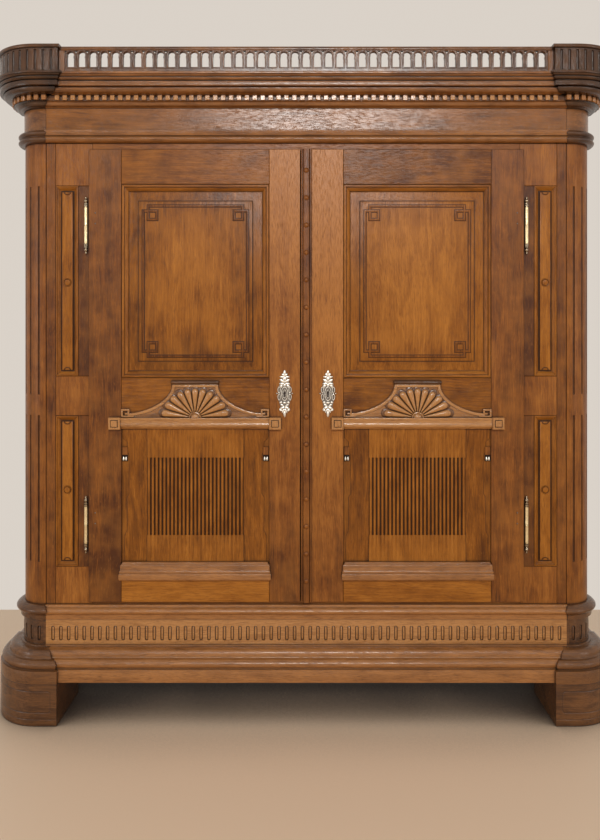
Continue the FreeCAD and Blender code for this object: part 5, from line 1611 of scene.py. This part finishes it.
    def reeding(self, face: float, z0: float, z1: float) -> Shape:
        """Centre board with a field of half-round reeds between sunk grooves."""
        half = self.half - self.reeded_margin
        pitch = 2 * half / self.reed_count
        low_z = self.bottom_rail + self.sill_height + self.reed_foot_margin
        high_z = self.lock_rail - self.reed_head_margin
        across = np.array([0.0, 0.10, 0.135, 0.18, 0.32, 0.5, 0.68, 0.82, 0.865, 0.90])
        xs = (np.arange(self.reed_count)[:, None] + across).ravel() * pitch
        xs = self.centre - half + np.append(xs, 2 * half)
        rows = np.array([
            z0, z0 + 1.0, low_z - 0.2, low_z + 0.6, low_z + 2.5, low_z + 5, (low_z + high_z) / 2,
            high_z - 5, high_z - 2.5, high_z - 0.6, high_z + 0.2, z1 - 1.0, z1])

        def surface(x: Array, z: Array) -> Array:
            """Place of the face: grooves inside the field."""
            share = ((x - self.centre + half) / pitch) % 1.0
            away = np.abs(share - 0.5) / 0.38
            groove = self.reed_depth * (1 - np.sqrt(np.clip(1 - away ** 2.5, 0, 1)))
            window = np.clip(np.minimum(z - low_z, high_z - z) + 0.4, 0, 1)
            rim = 0.7 * np.clip(1 - half + np.abs(x - self.centre), 0, 1)
            return face + groove * window + rim * (1 - window)

        shape = self.oak("reeded board", relief(xs, rows, surface, face + 12), UPRIGHT, 0.04)
        x, y, _ = shape.points.T
        inside = (np.abs(x - self.centre) < half + 0.1) & (y < face + 6)
        # Painted shade in the grooves between the reeds.
        shape.tone -= 1.1 * GROOVE_SHADE * np.clip(y - face, 0, self.reed_depth) * inside
        return shape

    def pediment_edge(self, inset: float, steps: int = 14) -> Array:
        """Hollow-shouldered outline from the left foot over the top to the right foot."""
        top, foot = self.shelf_top + np.array([self.pediment_rise, self.pediment_shoulder]) - inset
        half_top, half_foot = self.pediment_half_top - inset, self.half - self.pediment_margin
        t = np.linspace(0, math.pi / 2, steps)
        x = half_foot - (half_foot - half_top) * np.sin(t) ** 1.15
        z = foot + (top - foot) * (1 - np.cos(t)) ** 0.92
        side = np.stack([x, z], -1)
        return np.concatenate([side * (-1, 1), side[::-1]]) + (self.centre, 0)

    def pediment(self) -> list:
        """Plate, key scrolls at its feet and the raised band over it."""
        y, base, band = self.front, self.shelf_top, self.band_width
        edge = self.pediment_edge(0.0)
        outline = np.concatenate([edge, [(edge[-1, 0], base), (edge[0, 0], base)]])
        plate = lattice(np.stack([upright(outline, depth) for depth in (y + 2, y - 2.4, y - 3.0)]))
        shapes = [self.oak("pediment plate", plate, ACROSS, -0.06)]
        thin = band * 0.62
        steps = np.array([(1.8, 0.0), (0.0, 0.0), (0.0, 1.0), (1.0, 1.0), (1.0, 0.42), (0.48, 0.42)])
        steps *= self.scroll_size - thin
        for way, end in ((1, self.px0 + thin / 2), (-1, self.px1 - thin / 2)):
            key = (end, base + thin / 2 + 0.5) + steps * (way, 1)
            shapes.append(self.oak("scroll", ribbon(key, thin, self.band_height, y), ACROSS, 0.35))
        run = self.pediment_edge(band / 2)
        run = ribbon(np.concatenate([run[:1] - (6, 0), run, run[-1:] + (6, 0)]), band, self.band_height, y)
        return shapes + [self.oak("pediment band", run, ACROSS, 0.35)]

    def bar(self) -> Shape:
        """Rounded bar on top of the pediment."""
        inset, swell = np.array([0, 0.8, 3, 6]), np.array([0.55, 0.85, 1.0, 0.96])
        x = np.concatenate([inset - self.bar_half, self.bar_half - inset[::-1]])[:, None]
        size = self.bar_radius * np.concatenate([swell, swell[::-1]])[:, None]
        angle = TURN * np.arange(16) / 16
        points = points_at(
            self.centre + x, self.front - 5 - size * np.cos(angle),
            self.bar_top - self.bar_radius + size * np.sin(angle))
        return self.oak("bar", lattice(points), ACROSS, -0.12)

    def shell(self) -> list:
        """Fan of rounded lobes round a hub, each with a scalloped border.

        Point (t, s) of a lobe lies t of the way from the hub to its tip and s of its
        half width aside; it rises by sqrt(1 - s^2) of a height that grows with t.
        """
        y = self.front - 3.0
        angle = (math.pi * (np.arange(self.lobes) + 0.5) / self.lobes)[:, None, None]
        reach = 1 / np.hypot(np.cos(angle) / self.fan_half, np.sin(angle) / self.fan_rise)
        t = np.array([0.0, 0.12, 0.3, 0.5, 0.68, 0.8, 0.88, 0.94, 0.98, 1.0])[:, None]
        s = np.linspace(-1, 1, 11)
        tip = np.sqrt(np.clip(1 - ((t - 0.86) / 0.14).clip(0, 1) ** 2, 0.02, 1))
        width = math.pi / self.lobes / 2 * 0.97 * tip
        along = 0.35 + 0.65 * np.sin(np.pi * 0.62 * t)
        rise = 8.5 * (along * tip ** 0.7) * np.sqrt(np.clip(1 - s ** 2, 0, 1))
        shapes = []
        for grow, broad, height, tone in ((1.0, 1.0, 1.0, 0.55), (1.09, 1.08, 0.35, -0.55)):
            turn, length = angle + width * broad * s, reach * grow * t
            z = self.shelf_top + np.maximum(length * np.sin(turn), 0.2)
            points = points_at(self.centre + length * np.cos(turn), y - height * rise, z)
            floor = points[:, :, ::-1].copy()
            floor[..., 1] = y + 1.5
            lobes = lattice(np.concatenate([points, floor], 2))
            shapes.append(self.oak("shell", lobes, UPRIGHT, tone))
        angle = np.linspace(0, math.pi, 15)
        radii = np.array([20.0, 20.0, 18.5, 16.5, 15.0, 13.0, 11.0, 6.0, 0.5])[:, None]
        lift = np.array([0.0, 5.0, 8.0, 8.6, 6.6, 6.2, 8.6, 10.2, 10.6])[:, None]
        hub = points_at(
            self.centre + radii * np.cos(angle), y - lift,
            self.shelf_top + 0.2 + radii * np.sin(angle) * 0.95)
        return shapes + [self.oak("hub", lattice(hub), UPRIGHT, 0.4)]

    def shelf(self) -> tuple[list, list]:
        """Shelf moulding, and its two square end blocks with buttons."""
        height = self.shelf_top - self.lock_rail
        loop = backed([storey(SHELF, self.shelf_reach, self.lock_rail, height)], -4.0) + (self.lip, 0)
        # Painted light: made lighter because its main face slopes away from the lamps.
        bar = self.oak("shelf moulding", along_x(loop, self.px0, self.px1), ACROSS, 0.35)
        middle, half = (self.lock_rail + self.shelf_top) / 2, self.block_half
        steps = np.array([
            (0, 2), (0, -16.5), (1.4, -18), (7.2, -18), (8.0, -14.5), (8.8, -14.5), (9.2, -20.0),
            (10.6, -21)]) + (0, self.front)
        buttons = []
        for x in (self.px0 - half, self.px1 + half):
            block = tray(x - half, x + half, middle - half, middle + half, steps)
            buttons.append(self.oak(f"block {x}", block, UPRIGHT, 0.42))
        return [bar], buttons

    def sill(self) -> Shape:
        """Sill moulding with its outline returned at both ends.

        Plan point k of an outline point of reach r: back at the left end, front left,
        front right, back at the right end; the ends stand in by (largest reach - r).
        """
        loop = backed([storey(SILL, self.sill_reach, self.bottom_rail, self.sill_height)], -2.0)
        reach, z = loop.T
        half = self.half + self.sill_lap - self.sill_reach + reach
        side, ahead = np.array([(-1, 0), (-1, 1), (1, 1), (1, 0)]).T[..., None]
        y = np.where(ahead, self.front - reach, self.front + 0.5)
        return self.oak("sill", lattice(points_at(self.centre + side * half, y, z)), ACROSS, 0.15)

    def guttae(self) -> tuple[list, list]:
        """Small tab with two pale drops below it, beside each edge of the shaped board."""
        tabs, drops = [], []
        y, top = self.front + self.lower_sink, self.lock_rail - self.tab_drop
        for edge, way in ((self.px0, 1), (self.px1, -1)):
            x0, x1 = sorted((edge + way * 1.5, edge + way * 20.0))
            # The two lower pieces are near black: painted shade under the tab.
            for head, foot, deep, tone in ((0, 26, 3.4, -0.1), (27, 31, 4.2, -2.0), (33, 46, 2.2, -2.0)):
                tabs.append(board(
                    self.seed("tab"), (x0, y - deep, top - foot), (x1, y + 1, top - head), UPRIGHT,
                    tone))
            # The drops take pale metal as a painted highlight on carved wood.
            for place in (7.0, 14.8):
                drop = turned(
                    (1.2, 2.2, 2.9, 3.2, 3.2, 2.4), top - np.array([31, 33, 36, 39, 41, 43]),
                    edge + way * place, y - 3.4, 12)
                drops.append(wood(drop, UPRIGHT, "drop"))
        return tabs, drops

    def build(self, bench: Bench) -> None:
        """Builds every wooden piece of the door, on its own side of the cabinet."""
        stiles, rails = self.frame()
        moulding, panel = self.upper_panel()
        shelf, buttons = self.shelf()
        tabs, drops = self.guttae()
        for name, shapes, finish, node in (
                ("stiles", stiles, Finish.FRAME, "frame"), ("rails", rails, Finish.PANEL, None),
                ("panel_moulding", moulding, Finish.PANEL, "moulding"),
                ("raised_panel", panel, Finish.PANEL, "upper_panel"),
                ("reeded_panel", self.lower_panel(), Finish.PANEL, "lower_panel"),
                ("pediment_work", self.pediment(), Finish.CARVED, "pediment"),
                ("pediment_bar", [self.bar()], Finish.DARK, None),
                ("fan", self.shell(), Finish.CARVED, "shell"),
                ("shelf_work", shelf, Finish.CARVED, "shelf_moulding"),
                ("shelf_blocks", buttons, Finish.CARVED, None),
                ("sill_work", [self.sill()], Finish.MOULDING, "sill_moulding"),
                # Pale metal on the drops is a painted highlight.
                ("tabs", tabs, Finish.FRAME, None), ("drops", drops, Finish.PALE_BRASS, None)):
            own = shapes if self.side is Side.LEFT else [mirrored(shape) for shape in shapes]
            row = (f"{self.body}_{name}", own, finish, node and f"{self.body}_{node}")
            bench.fix_all(self.body, [row])


@dataclass
class Astragal:
    """Strip over the joint of the doors, with a row of flush bosses."""

    height: float = 8.0
    band: float = 19.0
    boss_pitch: float = 87.0
    boss_radius: float = 9.0

    def build(self, bench: Bench) -> None:
        """Builds the strip and its bosses."""
        (x0, _, z0), (x1, _, z1) = low("astragal"), high("astragal")
        y = low("door_right_frame")[1]
        middle, edge, half = (x0 + x1) / 2, (x1 - x0) / 2, self.band / 2
        side = np.array([
            (edge, 1), (edge, -2.5), (edge - 2, -4), (half + 2, -4), (half + 1, -2.6), (half, -6.6),
            (half - 1.2, -self.height)])
        loop = softened(np.concatenate([side * (-1, 1), side[::-1]]) + (middle, y), 0.9)
        shapes = [wood(swept(loop, z0, z1, 2), UPRIGHT, "astragal", -0.25)]
        radii = (*self.boss_radius * np.array([0.9, 0.9, 0.78, 0.7, 0.5, 0.2]), 0.4)
        depths = y - np.array([5, 8.6, 9.6, 9.0, 10.2, 10.8, 10.9])
        for z in (z0 + z1) / 2 + spaced(z1 - z0, self.boss_pitch):
            shapes.append(wood(disc(middle, z, radii, depths), UPRIGHT, "astragal", -0.08))
        bench.fix("astragal_strip", shapes, Finish.FRAME, "door_right", "astragal")


@dataclass
class Escutcheon:
    """Pierced, silvered key plate: leaves, links and a frame round the keyhole, on a dark ground.

    Places and sizes are shares of the plate's height, from its middle.
    """

    side: Side
    links: tuple = (0.115, 0.085, -0.065)
    upper_leaves: tuple = (
        (0.0, 0.39, 90, 0.115, 0.030), (0.0, 0.37, 48, 0.085, 0.027), (0.0, 0.35, 8, 0.105, 0.026),
        (0.0, 0.27, 90, 0.105, 0.034), (0.0, 0.24, 35, 0.125, 0.032), (0.0, 0.215, 0, 0.115, 0.027),
        (0.045, 0.19, -35, 0.070, 0.030), (0.0, 0.16, 90, 0.060, 0.034))
    lower_leaves: tuple = (
        (0.0, -0.16, -90, 0.055, 0.042), (0.055, -0.165, -30, 0.060, 0.026),
        (0.085, -0.21, -140, 0.090, 0.026), (0.0, -0.27, -28, 0.125, 0.030),
        (0.0, -0.31, -60, 0.110, 0.026), (0.050, -0.36, 25, 0.070, 0.026), (0.0, -0.36, -90, 0.135, 0.030))

    def __post_init__(self) -> None:
        """Reads the plate's place from the frame."""
        a, b = low("escutcheon_" + self.side.value), high("escutcheon_" + self.side.value)
        self.x, self.z, self.back = (a[0] + b[0]) / 2, (a[2] + b[2]) / 2, b[1]
        self.height, self.width = b[2] - a[2], b[0] - a[0]

    def leaf(self, across: float, rise: float, degrees: float, length: float, half: float) -> Shape:
        """Domed leaf that starts at a place and points along an angle.

        Point (t, s) lies t of its length along and s * half * sqrt(sin(pi t)) aside, and
        is raised by a dome over s; the last point of each row lies on the ground.
        """
        h, turn = self.height, math.radians(degrees)
        t = np.array([0.02, 0.12, 0.3, 0.5, 0.7, 0.86, 0.95, 0.995])[:, None]
        s = np.array([-1.0, -0.85, -0.45, 0.0, 0.45, 0.85, 1.0, 0.0])
        swell = np.sqrt(np.sin(math.pi * t ** 0.8))
        along, aside = t * length * h, s * half * h * swell
        rises = np.sqrt(np.clip(1 - s ** 2, 0, 1)) * 2.2 * swell + 0.9
        rises[:, -1] = 0.2
        x = self.x + across * h + along * math.cos(turn) - aside * math.sin(turn)
        z = self.z + rise * h + along * math.sin(turn) + aside * math.cos(turn)
        return lattice(points_at(x, self.back - rises, z))

    def link(self, across: float, rise: float, wide: float, tall: float, band: float, lift: float) -> Shape:
        """Open oval ring."""
        angle = TURN * np.arange(24) / 24
        path = np.stack([
            self.x + self.height * (across + wide * np.cos(angle)),
            self.z + self.height * (rise + tall * np.sin(angle))], -1)
        return ribbon(path, band, lift, self.back, closed=True)

    def build(self, bench: Bench) -> None:
        """Builds the plate's work, its ground and the keyhole."""
        shapes = []
        for across, rise, degrees, length, half in self.upper_leaves + self.lower_leaves:
            shapes.append(self.leaf(across, rise, degrees, length, half))
            if abs(degrees) != 90:
                shapes.append(self.leaf(-across, rise, 180 - degrees, length, half))
        across, upper, lower = self.links
        for sign in (-1, 1):
            shapes += [self.link(sign * across, rise, 0.026, 0.062, 2.3, 2.8) for rise in (upper, lower)]
            shapes.append(self.leaf(sign * (across + 0.03), 0.01, 90 - 90 * sign, 0.035, 0.014))
            shapes.append(self.leaf(sign * 0.052, 0.145, 90 - 90 * sign, 0.05, 0.016))
        shapes.append(self.link(0, 0.005, 0.066, 0.145, 2.6, 3.2))
        shapes.append(self.link(0, 0.0, 0.040, 0.085, 1.8, 3.8))
        name, back = self.side.value, self.back
        node, body = "escutcheon_" + name, "door_" + name
        work = [wood(shape, UPRIGHT, node) for shape in shapes]
        bench.fix("key_plate_" + name, work, Finish.PALE_BRASS, body, node, sharp=50)
        angle = TURN * np.arange(32) / 32
        reach = np.interp(np.abs(np.sin(angle)), [0, 0.35, 0.75, 1.0], [0.125, 0.120, 0.085, 0.0])
        outline = np.stack([np.sign(np.cos(angle)) * reach, 0.42 * np.sin(angle)], -1) * self.height
        ground = lattice(np.stack([
            upright((self.x, self.z) + grow * outline, back - lift)
            for grow, lift in ((1.0, 0.1), (0.99, 0.9), (0.95, 1.1))]))
        bench.fix("key_ground_" + name, wood(ground, UPRIGHT, node), Finish.IRON, body)
        hole = [
            disc(self.x, self.z + 3.5, (3.6, 3.4, 0.2), back - np.array([0.8, 1.5, 1.5]), 16),
            blocks((self.x - 1.6, back - 1.5, self.z - 9), (self.x + 1.6, back - 0.8, self.z + 2), 0.1)]
        # Painted shade: the keyhole's disc and slot are near black.
        hole = [wood(shape, UPRIGHT, node, -2.0) for shape in hole]
        bench.fix("keyhole_" + name, hole, Finish.DARK, body)


@dataclass
class Hinges:
    """Turned pin hinges: an upper half on the door and a lower half on the stile."""

    radius: float = 6.2
    knuckle: float = 58.0
    finial: float = 34.0
    front: float = 7.0
    stand_off: float = 20.0
    middles: tuple = (255.0, 1210.0)
    leaf_reach: float = 11.0
    pin_drops: tuple = (5.4, 39.5)

    def barrel(self) -> tuple[Array, Array]:
        """Radii and places of the plain barrel of one half, from the split outwards."""
        k = self.knuckle
        places = np.array([0.0, 0.8, 1.8, k * 0.5, k - 3.0, k - 2.6, k - 1.2, k - 0.9, k])
        return self.radius * np.array([0.88, 0.97, 0.93, 0.93, 0.93, 0.84, 0.84, 1.0, 1.0]), places

    def tip(self) -> tuple[Array, Array]:
        """Radii and places of the rings, ball and point beyond the barrel."""
        radii = 1.12 * self.radius * np.array([
            0.72, 0.72, 0.98, 0.98, 0.66, 0.66, 0.90, 0.90, 0.50, 0.46, 0.62, 0.80, 0.86, 0.80, 0.58, 0.40,
            0.34, 0.44, 0.40, 0.22, 0.05])
        return radii, self.knuckle + self.finial * np.array([
            -0.02, 0.08, 0.10, 0.19, 0.21, 0.26, 0.28, 0.34, 0.37, 0.42, 0.46, 0.52, 0.59, 0.66, 0.71, 0.75,
            0.82, 0.88, 0.93, 0.97, 1.0])

    def turnings(self, outline: tuple[Array, Array], x: float, heights: Array, up: int) -> list:
        """One turned piece at each height, above it or below it."""
        radii, places = outline
        return [
            wood(turned(radii, z + up * places, x, AT.front - self.front), UPRIGHT, "hinge")
            for z in heights]

    def build(self, bench: Bench) -> None:
        """Builds both halves of the four hinges and the pins of their leaves."""
        barrel, tip = self.barrel(), self.tip()
        heights, face = low("corner_posts")[2] + np.array(self.middles), low("door_left_frame")[1]
        lower_barrels, lower_tips = [], []
        for sign, name in ((-1, "left"), (1, "right")):
            x, body = sign * (AT.half_opening + self.stand_off), "door_" + name
            lower_barrels += self.turnings(barrel, x, heights - 0.3, -1)
            lower_tips += self.turnings(tip, x, heights - 0.3, -1)
            pins = [
                disc(sign * (AT.half_opening - self.leaf_reach), z + offset, (2.3, 2.2, 1.5, 0.3),
                     face - np.array([-1, 0.5, 1.3, 1.6]), 12)
                for z in heights for offset in self.pin_drops]
            bench.fix(
                f"hinge_barrels_{name}", self.turnings(barrel, x, heights + 0.5, 1), Finish.BRASS, body,
                f"hinge_door_halves_{name}", sharp=50)
            bench.fix(
                f"hinge_tips_{name}", self.turnings(tip, x, heights + 0.5, 1), Finish.BRONZE, body, sharp=50)
            bench.fix(
                f"leaf_pins_{name}", [wood(pin, UPRIGHT, "pin") for pin in pins], Finish.IRON, body)
        bench.fix(
            "hinge_lower_barrels", lower_barrels, Finish.BRASS, "carcass", "hinge_frame_halves", sharp=50)
        bench.fix("hinge_lower_tips", lower_tips, Finish.BRONZE, "carcass", sharp=50)


@dataclass
class Stage:
    """Floor, surround, lamps and camera; lengths in metres, the picture's in its own pixels."""

    floor_reach: float = 9.0
    floor_behind: float = 0.35
    picture_height: float = 840.0
    picture_focal: float = 750.0
    picture_shift: tuple = (-6.3, -87.0)
    camera_height: float = 1.221
    camera_gap: float = 2.4

    def floor(self) -> None:
        """Pale plain floor that ends behind the cabinet, with a painted shadow where it is covered."""
        mesh = bpy.data.meshes.new("floor")
        aside, far = self.floor_reach, AT.back * MM + self.floor_behind
        mesh.from_pydata(
            [(-aside, -aside, 0), (aside, -aside, 0), (aside, far, 0), (-aside, far, 0)], [], [(0, 1, 2, 3)])
        floor = bpy.data.objects.new("floor", mesh)
        bpy.context.scene.collection.objects.link(floor)
        material, w, shader = new_material("pale floor")
        sky = w.add("AmbientOcclusion", {"Distance": 0.5}, samples=8).outputs["AO"]
        # Painted shadow: the floor darkens where little of the surround reaches it.
        colour = w.blend(w.spread(sky, 0.30, 0.80), (0.05, 0.036, 0.028, 1), (0.97, 0.74, 0.53, 1))
        w.fill(shader, {"Base Color": colour, "Roughness": 0.5})
        mesh.materials.append(material)

    def surround(self) -> None:
        """Pale surround: bright to the camera and in reflections, dimmer as a lamp."""
        world = bpy.data.worlds.new("surround")
        bpy.context.scene.world = world
        world.use_nodes = True
        nodes, w = world.node_tree.nodes, Wiring(world.node_tree)
        shade = nodes["Background"]
        w.fill(shade, {"Color": (1.0, 0.98, 0.95, 1), "Strength": 0.38})
        bright = w.add("Background", {"Color": (0.70, 0.64, 0.575, 1), "Strength": 1.0})
        path = w.add("LightPath").outputs
        seen = w.math("MAXIMUM", path["Is Camera Ray"], path["Is Glossy Ray"])
        mix = w.add("MixShader", {0: seen, 1: shade.outputs[0], 2: bright.outputs[0]})
        w.fill(nodes["World Output"], {"Surface": mix.outputs[0]})

    def lamp(self, name: str, place: tuple, aim: tuple, size: tuple, power: float) -> None:
        """One soft upright lamp that looks at a point."""
        data = bpy.data.lights.new(name, "AREA")
        data.shape = "RECTANGLE"
        data.size, data.size_y = size
        data.energy = power
        data.color = (1.0, 0.98, 0.95)
        lamp = bpy.data.objects.new(name, data)
        bpy.context.scene.collection.objects.link(lamp)
        lamp.location = place
        lamp.rotation_euler = (Vector(aim) - Vector(place)).to_track_quat("-Z", "Y").to_euler()

    def camera(self) -> None:
        """Camera level with the lock rail, shifted as the photograph's framing is."""
        data = bpy.data.cameras.new("camera")
        data.sensor_width = 36
        data.lens = data.sensor_width * self.picture_focal / self.picture_height
        data.shift_x, data.shift_y = (shift / self.picture_height for shift in self.picture_shift)
        camera = bpy.data.objects.new("camera", data)
        camera.location = (0, AT.front * MM - self.camera_gap, self.camera_height)
        camera.rotation_euler = (math.pi / 2, 0, 0)
        bpy.context.scene.collection.objects.link(camera)
        bpy.context.scene.camera = camera

    def build(self) -> None:
        """Sets up floor, surround, lamps and camera."""
        self.floor()
        self.surround()
        self.lamp("window", (0.2, -6.5, 3.75), (0.0, -0.2, 1.0), (2.2, 1.1), 165)
        self.lamp("left room", (-5.8, -4.4, 1.8), (0.0, -0.2, 0.6), (2.0, 2.6), 54)
        self.lamp("right room", (6.0, -4.6, 1.8), (0.0, -0.2, 0.6), (2.0, 2.6), 38)
        self.camera()
        bpy.context.scene.view_settings.view_transform = "Standard"


def main() -> None:
    """Builds the cabinet, its finishes and the stage."""
    logging.basicConfig(level=logging.INFO, format="%(name)s: %(message)s")
    Stage().build()
    bench = Bench()
    for part in (Base(), Surround(), Carcass(), Cornice()):
        part.build(bench)
    for side in Side:
        Door(side).build(bench)
        Escutcheon(side).build(bench)
    Astragal().build(bench)
    Hinges().build(bench)
    for node in ("lock_case", "lock_keep", "lock_bolt", "top_bolt", "bottom_bolt", "bolt_guides"):
        bench.repaint(node, Finish.IRON)


if __name__ == "__main__":
    main()
